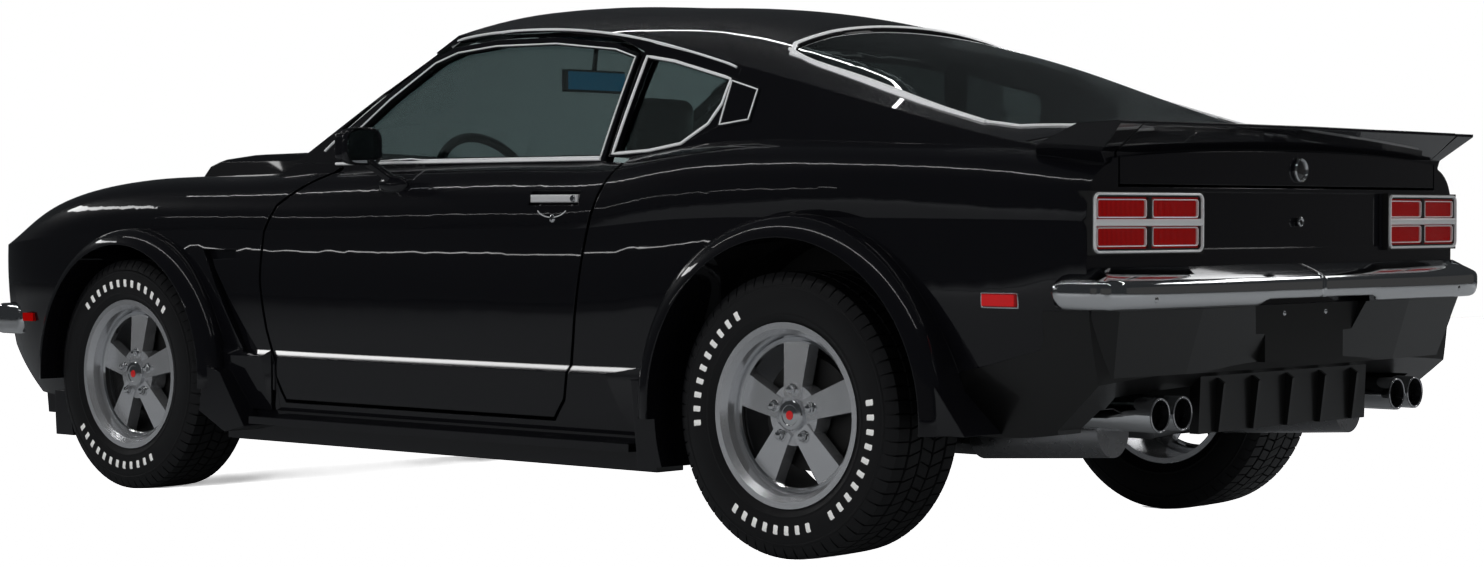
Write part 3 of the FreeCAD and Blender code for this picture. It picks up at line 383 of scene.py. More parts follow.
def lathe(profile, centre, axis, segments=48):
    # turns (radius, height) points round an axis; a radius of 0 at an end closes it
    centre, axis = Vector(centre), Vector(axis).normalized()
    first = axis.orthogonal().normalized()
    second = axis.cross(first)
    vertices = []
    for radius, height in profile:
        for index in range(segments):
            angle = 2 * math.pi * index / segments
            spoke = first * math.cos(angle) + second * math.sin(angle)
            vertices.append(centre + axis * height + spoke * radius)
    return vertices, bands(len(profile), segments)


def block(low, high):
    xs, ys, zs = zip(low, high)
    vertices = [Vector((x, y, z)) for x in xs for y in ys for z in zs]
    faces = [(0, 1, 3, 2), (4, 6, 7, 5), (0, 4, 5, 1), (2, 3, 7, 6), (0, 2, 6, 4), (1, 5, 7, 3)]
    return vertices, faces


def smooth_path(points, steps=6):
    # a smooth curve through all the points
    path = []
    for index in range(len(points) - 1):
        before = Vector(points[max(index - 1, 0)])
        start, end = Vector(points[index]), Vector(points[index + 1])
        after = Vector(points[min(index + 2, len(points) - 1)])
        for step in range(steps):
            t = step / steps
            bend = (2 * start + (end - before) * t + (2 * before - 5 * start + 4 * end - after) * t * t
                    + (3 * start - before - 3 * end + after) * t ** 3)
            path.append(bend / 2)
    path.append(Vector(points[-1]))
    return path


def fine_path(points, spacing=0.02, closed=False):
    # the same corners, with more points between them
    corners = [Vector(point) for point in points]
    if closed:
        corners.append(corners[0])
    path = []
    for start, end in zip(corners, corners[1:]):
        count = max(1, round((end - start).length / spacing))
        path += [start.lerp(end, step / count) for step in range(count)]
    return path if closed else path + [corners[-1]]


def grown(outline, distance):
    # moves a closed outline outwards by a distance in its own plane
    points = [Vector(point) for point in outline]
    area = sum(a.x * b.y - b.x * a.y for a, b in zip(points, points[1:] + points[:1]))
    turn = 1 if area > 0 else -1
    result = []
    for index, point in enumerate(points):
        back = (point - points[index - 1]).normalized()
        onward = (points[(index + 1) % len(points)] - point).normalized()
        normal_back = Vector((back.y, -back.x)) * turn
        normal_onward = Vector((onward.y, -onward.x)) * turn
        middle = (normal_back + normal_onward).normalized()
        result.append(point + middle * distance / max(0.5, middle.dot(normal_back)))
    return result


def skin_tree(side):
    # the painted outside of one side of the car, for laying trims on it
    names = ["door_" + side, "fender_" + side, "quarter_panel_" + side, "roof_panel", "trunk_lid"]
    vertices, faces = [], []
    for name in names:
        mesh = nodes[name].data
        base = len(vertices)
        vertices += [vertex.co.copy() for vertex in mesh.vertices]
        faces += [tuple(base + index for index in polygon.vertices) for polygon in mesh.polygons]
    return BVHTree.FromPolygons(vertices, faces)


def dropped(side, start, direction, reach):
    # the place where a ray meets the skin, with the direction out of it, in a list that a miss leaves empty
    place, normal = skins[side].ray_cast(start, direction, reach)[:2]
    if place is None:
        return []
    return [(place, normal if normal.dot(direction) < 0 else -normal)]


def on_side(side, points, step_over=1.0):
    # (x, z) points dropped on the side of the car, without those that stand out by more than step_over
    sign = SIDES[side]
    outside, reach = 1.2, 0.75
    path = []
    for x, z in points:
        path += dropped(side, Vector((x, sign * outside, z)), Vector((0, -sign, 0)), reach)
    depths = sorted(abs(place.y) for place, normal in path)
    limit = depths[len(depths) // 2] + step_over
    return evened([(place, normal) for place, normal in path if abs(place.y) < limit])


def on_top(points):
    # (x, y) points dropped on the car from above
    above, reach = 1.6, 0.8
    path = []
    for x, y in points:
        side = "left" if y >= 0 else "right"
        path += dropped(side, Vector((x, y, above)), Vector((0, 0, -1)), reach)
    return evened(path)


def window_of(path, index, reach, closed):
    # a point of a path with its neighbours on both sides
    steps = range(index - reach, index + reach + 1)
    if closed:
        return [path[step % len(path)] for step in steps]
    return [path[min(max(step, 0), len(path) - 1)] for step in steps]


def evened(path, reach=3):
    # averages depths and directions along a path, so that a strip runs smoothly over panels and gaps
    ends_meet = 0.06
    closed = len(path) > 2 and (path[0][0] - path[-1][0]).length < ends_meet
    turned = []
    for index in range(len(path)):
        window = window_of(path, index, reach, closed)
        normal = sum((direction for place, direction in window), Vector()).normalized()
        turned.append((path[index][0], normal))
    result = []
    for index, (place, normal) in enumerate(turned):
        window = window_of(turned, index, reach, closed)
        level = sum((other - place).dot(normal) for other, direction in window) / len(window)
        result.append((place + normal * level, normal))
    return result


def strip(path, half_width, proud, closed=False, swell=0.0):
    # a rounded moulding along (place, normal) points, wider in the middle of its length by the swell
    section = ((-1, -0.6), (-1, 0.35), (-0.65, 0.85), (0, 1), (0.65, 0.85), (1, 0.35), (1, -0.6))
    vertices, faces = [], []
    count = len(path)
    for index in range(count):
        place, normal = path[index]
        before = path[index - 1][0] if index or closed else place
        after = path[(index + 1) % count][0] if index < count - 1 or closed else place
        along = (after - before).normalized()
        across = normal.cross(along).normalized()
        reach = half_width + swell * math.sin(math.pi * index / count)
        vertices += [place + across * reach * share + normal * proud * rise for share, rise in section]
    size = len(section)
    for index in range(count if closed else count - 1):
        near, far = index * size, (index + 1) % count * size
        for step in range(size - 1):
            faces.append((near + step, near + step + 1, far + step + 1, far + step))
        faces.append((near + size - 1, near, far, far + size - 1))
    if not closed:
        faces.append(tuple(range(size)))
        faces.append(tuple(reversed(range((count - 1) * size, count * size))))
    return vertices, faces


# Outlines in millimetres from the rear axle, as (x, z) seen from the side and (x, y) seen from above

def from_axle(points):
    # millimetres ahead of the rear axle to the frame's metres
    return [Vector((x / 1000 + REAR_AXLE_X, other / 1000)) for x, other in points]


DOOR_GLASS = from_axle((
    (745, 926), (690, 1164), (757, 1184), (968, 1206), (1189, 1208), (1330, 1196), (1410, 1172), (1565, 1080),
    (1690, 990), (1712, 926)))
QUARTER_GLASS = from_axle((
    (694, 934), (640, 1160), (553, 1146), (365, 1098), (375, 1046), (405, 1000), (480, 955), (580, 940)))
PILLAR_PLATE = from_axle(((358, 1106), (260, 1079), (268, 998), (368, 986)))
REAR_GLASS = from_axle((
    (325, 0), (322, 300), (310, 460), (270, 520), (50, 548), (-184, 580), (-365, 592), (-425, 560),
    (-470, 430), (-500, 0)))
REAR_BAND = from_axle(((300, 505), (200, 540), (50, 560), (-184, 592), (-365, 606)))
DRIP_RAIL = from_axle((
    (1800, 950), (1700, 1028), (1577, 1124), (1440, 1208), (1341, 1234), (1189, 1248), (968, 1246),
    (757, 1224), (560, 1186), (400, 1146), (350, 1130)))
BELT_LINE = from_axle(((1745, 915), (740, 915)))
REAR_MARKER = from_axle(((-594, 583), (-594, 608), (-508, 608), (-508, 583)))
REAR_BUMPER_PLAN = from_axle(((-872, 0), (-868, 400), (-850, 747), (-800, 813), (-700, 832)))
FRONT_BUMPER_PLAN = from_axle(((3352, 0), (3334, 500), (3286, 720), (3240, 752), (3115, 762)))


# Bright trim round the windows

def add_window_trims(side):
    quarter = on_side(side, fine_path(grown(QUARTER_GLASS, 0.006), closed=True))
    plate = on_side(side, fine_path(grown(PILLAR_PLATE, -0.006), 0.01, closed=True))
    surround = [strip(quarter, *QUARTER_TRIM, closed=True), strip(plate, *PLATE_TRIM, closed=True)]
    add_chrome("quarter_glass_surround_" + side, surround, finish="bright_trim")
    door = on_side(side, fine_path(grown(DOOR_GLASS, 0.005), closed=True))
    belt = on_side(side, fine_path(BELT_LINE), step_over=0.015)
    surround = [strip(door, *DOOR_TRIM, closed=True), strip(belt, *BELT_TRIM)]
    add_chrome("door_glass_surround_" + side, surround, door_body(side), "bright_trim")
    rail = on_side(side, fine_path(smooth_path(DRIP_RAIL)))
    add_chrome("drip_rail_" + side, [strip(rail, *DRIP_TRIM)], finish="bright_trim")


def add_rear_window_surround():
    mirrored = [Vector((point.x, -point.y)) for point in reversed(REAR_GLASS[1:-1])]
    path = on_top(fine_path(grown(REAR_GLASS + mirrored, 0.008), closed=True))
    surround = strip(path, *REAR_WINDOW_TRIM, closed=True)
    add_chrome("rear_window_surround", [surround], finish="bright_trim")


def add_rear_window_band(side):
    # the bright moulding along the side of the rear window is widest in its middle
    swell = 0.012
    path = on_top([(point.x, SIDES[side] * point.y) for point in fine_path(smooth_path(REAR_BAND))])
    band = strip(path, *REAR_BAND_TRIM, swell=swell)
    add_chrome("rear_window_band_" + side, [band], finish="bright_trim")


# Details of the flanks

def add_pillar_lock(side):
    sign = SIDES[side]
    profile = ((0, 0.008), (0.008, 0.0075), (0.011, 0.005), (0.012, 0))
    lock = lathe(profile, (-0.977, sign * 0.662, 1.033), (0, sign, 0.25))
    add_chrome("pillar_lock_" + side, [lock])


def add_door_mirror(side):
    # a round-cornered housing over the solid pod, with its glass set into the face that looks back
    sign = SIDES[side]
    rear_x, depth = ahead(1.467), 0.082
    centre_y, centre_z = 0.8395, 0.956
    half_width, half_height = 0.063, 0.050
    corner_power = 0.55
    around, steps = 48, 10

    def ring(x, scale):
        points = []
        for index in range(around):
            angle = 2 * math.pi * index / around
            across = math.copysign(abs(math.cos(angle)) ** corner_power, math.cos(angle))
            rise = math.copysign(abs(math.sin(angle)) ** corner_power, math.sin(angle))
            points.append(Vector((x, sign * (centre_y + half_width * scale * across),
                                  centre_z + half_height * scale * rise)))
        return points

    rim = ((0.008, 0.86), (0.001, 0.88), (0, 0.92), (0.002, 0.975))
    rows = [(rear_x + inset, scale) for inset, scale in rim]
    rows += [(rear_x + depth * step / steps, (1 - (step / steps) ** 2.2) ** 0.42) for step in range(1, steps)]
    rows.append((rear_x + depth, 0.05))
    vertices = [point for x, scale in rows for point in ring(x, scale)]
    front_cap = tuple(range((len(rows) - 1) * around, len(rows) * around))
    housing = (vertices, bands(len(rows), around) + [front_cap])
    add_piece("door_mirror_housing_" + side, [housing], "body_paint", door_body(side), crease=50)
    glass = (ring(rear_x + 0.005, 0.87), [tuple(range(around))])
    add_piece("door_mirror_glass_" + side, [glass], "window_glass", door_body(side), "mirror_glass")


def add_door_lock(side):
    sign = SIDES[side]
    x, half_slot = ahead(0.815), 0.0008
    profile = ((0, 0.0025), (0.0065, 0.0025), (0.0095, 0.001), (0.0105, -0.002))
    plate = lathe(profile, (x, sign * 0.8, 0.769), (0, sign, 0))
    slot = block((x - half_slot, sign * 0.802, 0.7645), (x + half_slot, sign * 0.8031, 0.7735))
    add_chrome("door_lock_" + side, [plate], door_body(side))
    add_piece("door_key_slot_" + side, [slot], "black_plastic", door_body(side))


def add_door_handle_details(side):
    # the bright edge of the bowl under the handle, and the button at the handle's end
    sign = SIDES[side]
    bowl_x, bowl_z = ahead(0.818), 0.802
    half_width, drop, steps = 0.056, 0.030, 24
    bowl = []
    for step in range(steps + 1):
        angle = math.pi * (1 + step / steps)
        bowl.append((bowl_x + half_width * math.cos(angle), bowl_z + drop * math.sin(angle)))
    edge = strip(on_side(side, bowl), *BOWL_TRIM)
    add_piece("door_handle_bowl_" + side, [edge], "black_plastic", door_body(side), "satin_chrome")
    profile = ((0, 0.004), (0.007, 0.004), (0.0085, 0.002), (0.0085, -0.002))
    button = lathe(profile, (ahead(0.746), sign * 0.797, 0.818), (0, sign, 0), 32)
    add_chrome("door_handle_button_" + side, [button], door_body(side))


def add_rear_marker(side):
    sign = SIDES[side]
    proud, thickness = 0.003, 0.02
    corners = on_side(side, grown(REAR_MARKER, 0.004))
    face = max(abs(place.y) for place, normal in corners) + proud
    low, high = REAR_MARKER[0], REAR_MARKER[2]
    lens = block((low[0], sign * (face - thickness), low[1]), (high[0], sign * face, high[1]))
    add_piece("rear_marker_lens_" + side, [lens], "red_lens", "chassis", "marker_red")
    edge = on_side(side, fine_path(grown(REAR_MARKER, 0.003), 0.01, closed=True))
    add_chrome("rear_marker_frame_" + side, [strip(edge, *MARKER_TRIM, closed=True)])


# Tail: lamp frames, badge, lock, bolts and exhaust tips

def tail_x(y, proud):
    # the bowed tail: how far back it lies at a distance from the middle
    return ahead(-TAIL_BEHIND_AXLE) + PANEL_BOW * y * y - proud


def rounded(low, high, radius, steps=6):
    # a closed rectangle with round corners
    centres = ((high[0] - radius, high[1] - radius), (low[0] + radius, high[1] - radius),
               (low[0] + radius, low[1] + radius), (high[0] - radius, low[1] + radius))
    path = []
    for corner, (x, y) in enumerate(centres):
        for step in range(steps + 1):
            angle = math.pi / 2 * (corner + step / steps)
            path.append(Vector((x + radius * math.cos(angle), y + radius * math.sin(angle))))
    return path


def on_tail(points, proud, sign):
    # (y, z) points set on the tail, all facing back
    return [(Vector((tail_x(y, proud), sign * y, z)), Vector((-1, 0, 0))) for y, z in points]


def tail_frame(low, high, proud, trim, radius, sign):
    outline = fine_path(rounded(low, high, radius), 0.03, closed=True)
    return strip(on_tail(outline, proud, sign), *trim, closed=True)


def add_tail_lamp_frames(side):
    sign = SIDES[side]
    inset, pane_corner, frame_corner = 0.005, 0.006, 0.014
    bar_height, bar_places = 0.762, (0.408, 0.5, 0.594, 0.69, 0.781)
    frames = []
    for y0, y1 in LAMP_COLUMNS:
        for z0, z1 in LAMP_ROWS:
            low, high = (y0 + inset, z0 + inset), (y1 - inset, z1 - inset)
            frames.append(tail_frame(low, high, PANE_PROUD, PANE_TRIM, pane_corner, sign))
    frames.append(tail_frame(*LAMP_FRAME, LAMP_PROUD, LAMP_TRIM, frame_corner, sign))
    add_chrome("tail_lamp_frames_" + side, frames, finish="satin_chrome")
    bar = strip(on_tail([(y, bar_height) for y in bar_places], LAMP_PROUD, sign), *LAMP_BAR_TRIM)
    add_chrome("tail_lamp_bar_" + side, [bar], finish="satin_chrome")


def add_exhaust_tips(side):
    sign = SIDES[side]
    end, height, spots = ahead(-0.797), 0.347, (0.467, 0.554)
    pipe = ((0.0384, 0.19), (0.0384, 0.006), (0.0378, 0.001), (0.0355, -0.001), (0.0332, 0.001),
            (0.0328, 0.03))
    bore = ((0.0328, 0.03), (0.032, 0.1), (0, 0.1))
    tips = [lathe(pipe, (end, sign * y, height), (1, 0, 0), 64) for y in spots]
    insides = [lathe(bore, (end, sign * y, height), (1, 0, 0)) for y in spots]
    add_chrome("exhaust_tips_" + side, tips)
    add_piece("exhaust_bores_" + side, insides, "black_underbody", "chassis")


def add_badge():
    # a plain ring with a plain disc, on the boot lid
    centre = (ahead(-0.806), 0, 0.88)
    ring = ((0.0275, -0.001), (0.0275, 0.004), (0.025, 0.007), (0.022, 0.004), (0.0215, 0.002))
    dome = ((0.0215, 0.002), (0.014, 0.0042), (0.006, 0.0052), (0, 0.0054))
    body = "trunk_lid_body"
    add_chrome("badge_ring", [lathe(ring, centre, (-1, 0, 0), 64)], body)
    add_piece("badge_disc", [lathe(dome, centre, (-1, 0, 0))], "black_plastic", body, "black_enamel")


def add_boot_lock():
    x, height = ahead(-0.806), 0.762
    half_width, half_height = 0.0008, 0.004
    profile = ((0.0115, 0), (0.0115, 0.004), (0.009, 0.006), (0.0065, 0.0045), (0, 0.0045))
    lock = lathe(profile, (x, 0, height), (-1, 0, 0))
    low, high = height - half_height, height + half_height
    slot = block((x - 0.0058, -half_width, low), (x - 0.004, half_width, high))
    add_chrome("boot_lock", [lock])
    add_piece("boot_key_slot", [slot], "black_plastic", "chassis")


def add_bolt_pair(name, x, y, z, profile):
    bolts = [lathe(profile, (x, sign * y, z), (-1, 0, 0), 24) for sign in SIDES.values()]
    add_chrome(name, bolts)


def add_rear_bolts():
    large = ((0.008, 0), (0.008, 0.002), (0.006, 0.005), (0, 0.006))
    small = ((0.006, 0), (0.006, 0.002), (0.004, 0.004), (0, 0.0045))
    add_bolt_pair("bumper_bolts", ahead(-0.853), 0.66, 0.60, large)
    add_bolt_pair("plate_bolts", ahead(-0.820), 0.09, 0.556, small)


# Bumpers, with their sections as (how far in, height)

BUMPER_END_RADIUS = 0.022
REAR_BUMPER_SEAM = 0.002
REAR_BUMPER_SECTION = (
    (0.068, 0.667), (0.048, 0.659), (0.026, 0.649), (0.010, 0.641), (0.004, 0.6365), (0.001, 0.631),
    (0, 0.625), (0, 0.610), (0.0015, 0.597), (0.005, 0.587), (0.010, 0.581), (0.018, 0.5775),
    (0.026, 0.577), (0.060, 0.577))
FRONT_BUMPER_SECTION = (
    (0.070, 0.510), (0.016, 0.510), (0.007, 0.507), (0.002, 0.501), (0, 0.493), (0, 0.440),
    (0.002, 0.430), (0.007, 0.423), (0.016, 0.420), (0.070, 0.420))


def bumper_path(plan):
    # half a plan and its mirror image, with finer steps at the seam in the middle
    half = fine_path(smooth_path(plan), 0.016)
    half[1:1] = [half[0].lerp(half[1], share) for share in (0.08, 0.16, 0.24)]
    return [Vector((point.x, -point.y)) for point in reversed(half[1:])] + half


def notched(z, foot, y):
    # the rear bar's lower edge rises over the number plate panel
    rise, half_width, slope = 0.015, 0.256, 0.02
    return max(z, foot + rise * min(max((half_width - abs(y)) / slope, 0), 1))


def bumper_bar(plan, section, seam=0, notch=False):
    # a chromed bar with round ends, whose inner side faces the middle of the car
    middle = Vector((ahead(1.3), 0))
    seam_reach, smallest_end = 0.0025, 0.06
    path = bumper_path(plan)
    travelled = [0]
    for before, after in zip(path, path[1:]):
        travelled.append(travelled[-1] + (after - before).length)
    middle_height = sum(z for inset, z in section) / len(section)
    vertices = []
    for index, point in enumerate(path):
        along = (path[min(index + 1, len(path) - 1)] - path[max(index - 1, 0)]).normalized()
        inward = Vector((-along.y, along.x))
        if inward.dot(middle - point) < 0:
            inward = -inward
        to_end = min(travelled[index], travelled[-1] - travelled[index])
        arc = math.sqrt(max(0.0, 1 - (1 - min(to_end / BUMPER_END_RADIUS, 1)) ** 2))
        rounding = arc * (1 - smallest_end) + smallest_end
        sunk = BUMPER_END_RADIUS * 0.5 * (1 - rounding) + (seam if abs(point.y) < seam_reach else 0)
        for inset, z in section:
            if notch:
                z = notched(z, section[-1][1], point.y)
            flat = point + inward * (inset + sunk)
            vertices.append(Vector((flat.x, flat.y, middle_height + (z - middle_height) * rounding)))
    around = len(section)
    ends = [tuple(range(around)), tuple(range((len(path) - 1) * around, len(path) * around))]
    return vertices, bands(len(path), around) + ends


def add_bumpers():
    rear = bumper_bar(REAR_BUMPER_PLAN, REAR_BUMPER_SECTION, REAR_BUMPER_SEAM, notch=True)
    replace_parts(add_piece("rear_bumper_chrome", [rear], "chrome_trim", "chassis", crease=60), "rear_bumper")
    front = bumper_bar(FRONT_BUMPER_PLAN, FRONT_BUMPER_SECTION)
    chrome_bar = add_piece("front_bumper_chrome", [front], "chrome_trim", "chassis", crease=60)
    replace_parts(chrome_bar, "front_bumper")


# Nose

def add_headlamp(side):
    centre = (ahead(3.258), SIDES[side] * 0.530, 0.605)
    ring = ((0.0715, -0.01), (0.078, -0.004), (0.0785, 0.004), (0.075, 0.009), (0.071, 0.006), (0.070, 0))
    dome = ((0.070, 0.002), (0.062, 0.009), (0.045, 0.015), (0.025, 0.018), (0, 0.019))
    add_chrome("headlamp_ring_" + side, [lathe(ring, centre, (1, 0, 0), 64)])
    add_piece("headlamp_lens_" + side, [lathe(dome, centre, (1, 0, 0), 64)], "lamp_glass", "chassis",
              "headlamp_lens")


def add_grille_surround():
    face, half_width, low, high = ahead(3.284), 0.622, 0.528, 0.682
    corners = ((-half_width, low), (half_width, low), (half_width, high), (-half_width, high))
    path = []
    for y, z in fine_path(corners, 0.03, closed=True):
        path.append((Vector((face - PANEL_BOW * y ** 2, y, z)), Vector((1, 0, 0))))
    add_chrome("grille_surround", [strip(path, *GRILLE_TRIM, closed=True)])


# Tyres

# Half the section of the sidewall, as (radius, depth inwards from its outermost plane)
SIDEWALL = (
    (RIM_RADIUS + 0.001, 0.0225), (0.214, 0.0135), (0.226, 0.0062), (0.228, 0.0046), (0.231, 0.0046),
    (0.233, 0.0052), (0.245, 0.0022), (0.262, 0.0006), (0.280, 0.0022), (0.289, 0.0045), (0.291, 0.0036),
    (0.294, 0.0040), (0.296, 0.0064), (0.306, 0.0088), (0.314, 0.0138), (0.319, 0.0172))
UPPER_SIDEWALL_RADIUS = 0.30

# Slots in each run of the tread: their shift in pitches, their slant, and their depth in metres.
# Run 0 is the grooves and the plain sidewall, 1 to 5 the ribs across the tread, 6 the upper sidewall.
# The shares say where the points lie along one pitch, and the parts which of them are in the slot
TREAD_RUNS = (
    (0.0, 0.0, 0.0), (0.0, 0.0, 0.007), (0.45, 9.0, 0.007), (0.2, -12.0, 0.007), (0.7, 9.0, 0.007),
    (0.5, 0.0, 0.007), (0.0, 0.0, 0.0045))
TREAD_PITCHES = 66
PITCH_SHARES = (0.0, 0.03, 0.12, 0.15, 0.36, 0.57, 0.78)
SLOT_PARTS = (1, 2)


def sidewall_depth(radius):
    for (r0, d0), (r1, d1) in zip(SIDEWALL, SIDEWALL[1:]):
        if r0 <= radius <= r1:
            return d0 + (d1 - d0) * (radius - r0) / (r1 - r0)
    return SIDEWALL[-1][1]


def tread_section(width):
    # (radius, depth, run) points across the five ribs and the grooves between them
    edge, crown, groove_depth, groove_slope = 0.021, 0.0022, 0.008, 0.02
    half = width / 2 - edge
    ribs = ((-1.0, -0.66), (-0.58, -0.24), (-0.17, 0.17), (0.24, 0.58), (0.66, 1.0))
    groove = TYRE_RADIUS - groove_depth
    points = []
    for number, (start, end) in enumerate(ribs, 1):
        for across in (start, (start + end) / 2, end):
            points.append((TYRE_RADIUS - crown * across ** 4, edge + half * (1 + across), number))
        if number < len(ribs):
            points.append((groove, edge + half * (1 + end + groove_slope), 0))
            points.append((groove, edge + half * (1 + ribs[number][0] - groove_slope), 0))
    return points


def tyre_shape(axle, sign):
    width = TYRE_WIDTH[axle]
    outer = RIM_FACE[axle] + SIDEWALL_BULGE
    wall = [(radius, depth, 6 if radius > UPPER_SIDEWALL_RADIUS else 0) for radius, depth in SIDEWALL]
    inner_wall = [(radius, width - depth, run) for radius, depth, run in reversed(wall)]
    profile = wall + tread_section(width) + inner_wall
    rings, size = TREAD_PITCHES * len(PITCH_SHARES), len(profile)
    vertices, faces = [], []
    for index in range(rings):
        pitch, part = divmod(index, len(PITCH_SHARES))
        for radius, depth, run in profile:
            shift, slant, slot_depth = TREAD_RUNS[run]
            turn = pitch + PITCH_SHARES[part] + (shift + slant * (depth - width / 2))
            angle = 2 * math.pi * turn / TREAD_PITCHES
            reach = radius - (slot_depth if part in SLOT_PARTS else 0)
            vertices.append(Vector((AXLE_X[axle] + reach * math.sin(angle), sign * (outer - depth),
                                    HUB_HEIGHT + reach * math.cos(angle))))
    for index in range(rings):
        near, far = index * size, (index + 1) % rings * size
        for step in range(size - 1):
            faces.append((near + step, near + step + 1, far + step + 1, far + step)[::sign])
    return vertices, faces


def sidewall_mark(axle, sign, start):
    # one plain raised white bar on the sidewall, with its edges sunk into the rubber
    rows, columns = 7, 4
    outer = RIM_FACE[axle] + SIDEWALL_BULGE
    inner_radius, outer_radius = MARK_RADII
    vertices, faces = [], []
    for row in range(rows):
        radius = inner_radius + (outer_radius - inner_radius) * row / (rows - 1)
        for column in range(columns):
            angle = math.radians(start + MARK_SPAN * column / (columns - 1))
            at_edge = row in (0, rows - 1) or column in (0, columns - 1)
            y = outer - sidewall_depth(radius) + (-MARK_EDGE_SUNK if at_edge else MARK_HEIGHT)
            vertices.append(Vector((AXLE_X[axle] + radius * math.sin(angle), sign * y,
                                    HUB_HEIGHT + radius * math.cos(angle))))
    for row in range(rows - 1):
        for column in range(columns - 1):
            near, far = row * columns + column, (row + 1) * columns + column
            faces.append((near, near + 1, far + 1, far)[::sign])
    return vertices, faces


def add_tyre(axle, side):
    sign = SIDES[side]
    body = wheel_body(axle, side)
    name = "tyre_%s_%s" % (axle, side)
    shape = tyre_shape(axle, sign)
    tyre = add_piece("tyre_tread_%s_%s" % (axle, side), [shape], "tyre_rubber", body, crease=28)
    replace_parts(tyre, name)
    marks = []
    for start, count in TYRE_MARKS[axle]:
        marks += [sidewall_mark(axle, sign, start + number * MARK_PITCH) for number in range(count)]
    add_piece("tyre_marks_%s_%s" % (axle, side), marks, "tyre_rubber", body, "white_rubber")


# Wheel details, as (radius, depth behind the face of the rim)

WHEEL_RING = ((0.166, 0.054), (0.166, 0.042), (0.17, 0.038), (0.176, 0.04), (0.179, 0.046))
WHEEL_CAP = ((0.0355, 0.026), (0.035, 0.021), (0.0325, 0.0185), (0.024, 0.0175), (0.0225, 0.019),
             (0.015, 0.018), (0.0, 0.0172))
CAP_DOT = ((0.0105, 0.0175), (0.01, 0.0166), (0, 0.0162))
NUT_SEAT = ((0.015, 0.03), (0.0145, 0.027), (0.0115, 0.0262))
NUT = ((0.01, 0.028), (0.01, 0.017), (0.008, 0.014), (0.004, 0.0125), (0, 0.0122))
NUT_COUNT = 5
NUT_CIRCLE_RADIUS = 0.058


def add_wheel_details(axle, side):
    body = wheel_body(axle, side)
    name = "%s_%s" % (axle, side)
    x = AXLE_X[axle]
    hub = (x, 0, HUB_HEIGHT)

    def turned(profile, centre, segments):
        from_middle = [(radius, RIM_FACE[axle] - depth) for radius, depth in profile]
        return lathe(from_middle, centre, (0, SIDES[side], 0), segments)

    nuts = []
    for number in range(NUT_COUNT):
        angle = math.radians(360 / NUT_COUNT * number)
        place = (x + NUT_CIRCLE_RADIUS * math.sin(angle), 0, HUB_HEIGHT + NUT_CIRCLE_RADIUS * math.cos(angle))
        nuts += [turned(NUT_SEAT, place, 24), turned(NUT, place, 6)]
    add_piece("wheel_ring_" + name, [turned(WHEEL_RING, hub, 120)], "wheel_alloy", body, "bright_alloy")
    add_piece("wheel_cap_" + name, [turned(WHEEL_CAP, hub, 72)], "wheel_alloy", body, "bright_alloy")
    add_piece("wheel_cap_dot_" + name, [turned(CAP_DOT, hub, 40)], "red_lens", body, "red_enamel")
    add_chrome("wheel_nuts_" + name, nuts, body)


# Cabin

def add_interior_mirror_glass():
    face, half_width, low, high = ahead(1.450), 0.112, 1.126, 1.176
    glass = block((face - 0.0012, -half_width, low), (face + 0.003, half_width, high))
    add_piece("interior_mirror_glass", [glass], "window_glass", "chassis", "blue_mirror")


def add_dials():
    x, height, needle_top, half_needle = ahead(1.592), 0.800, 0.840, 0.001
    facing = (-1, 0, 0.1)
    ring = ((0.056, -0.004), (0.056, 0.012), (0.052, 0.014), (0.050, 0.006))
    dial = ((0.050, 0.006), (0, 0.006))
    dials, rings, needles = [], [], []
    for y in (0.29, 0.45):
        rings.append(lathe(ring, (x, y, height), facing, 64))
        dials.append(lathe(dial, (x, y, height), facing))
        needles.append(block((x - 0.009, y - half_needle, height), (x - 0.0075, y + half_needle, needle_top)))
    add_chrome("dial_rings", rings)
    add_piece("dial_faces", dials, "black_plastic", "chassis")
    add_piece("dial_needles", needles, "red_lens", "chassis", "red_enamel")


def pillow(box, round_by):
    # a box with rounded edges, as the pad before it is filled
    (back, front), (right, left), (low, high) = box
    shape = block((ahead(back), right, low), (ahead(front), left, high))
    blank = new_object("pad_blank", new_mesh("pad_blank", *shape))
    bevel = blank.modifiers.new("bevel", "BEVEL")
    bevel.width = round_by
    bevel.segments = 4
    return blank


def settled(blank):
    # the mesh with its modifiers worked in
    graph = bpy.context.evaluated_depsgraph_get()
    mesh = bpy.data.meshes.new_from_object(blank.evaluated_get(graph))
    blank.modifiers.clear()
    blank.data = mesh


def fill_pad(blank, voxel, cap):
    # swells the pad with cloth under pressure, and keeps every point within a distance of its start
    remesh = blank.modifiers.new("remesh", "REMESH")
    remesh.mode = "VOXEL"
    remesh.voxel_size = voxel
    settled(blank)
    start = [vertex.co.copy() for vertex in blank.data.vertices]
    cloth = blank.modifiers.new("cloth", "CLOTH")
    cloth.settings.use_pressure = True
    cloth.settings.uniform_pressure_force = 4
    cloth.settings.effector_weights.gravity = 0
    scene = bpy.context.scene
    for moment in range(1, 21):
        scene.frame_set(moment)
    settled(blank)
    scene.frame_set(1)
    for vertex, home in zip(blank.data.vertices, start):
        move = vertex.co - home
        if move.length > cap:
            vertex.co = home + move * (cap / move.length)


def press_channels(blank, lines, depth, half_width, axis, level):
    # sewn channels along lines across the car: the points near each line, beyond a level, sink into the pad
    for vertex in blank.data.vertices:
        if vertex.co[axis] <= level:
            continue
        for line in lines:
            away = abs(vertex.co.y - line)
            if away < half_width:
                sink = depth * (math.cos(math.pi * away / half_width) + 1) / 2
                vertex.co -= vertex.normal * sink


def lean_back(blank, foot, lean):
    # leans an upright pad backwards about its foot
    for vertex in blank.data.vertices:
        rise = vertex.co.z - foot
        vertex.co.x -= rise * lean


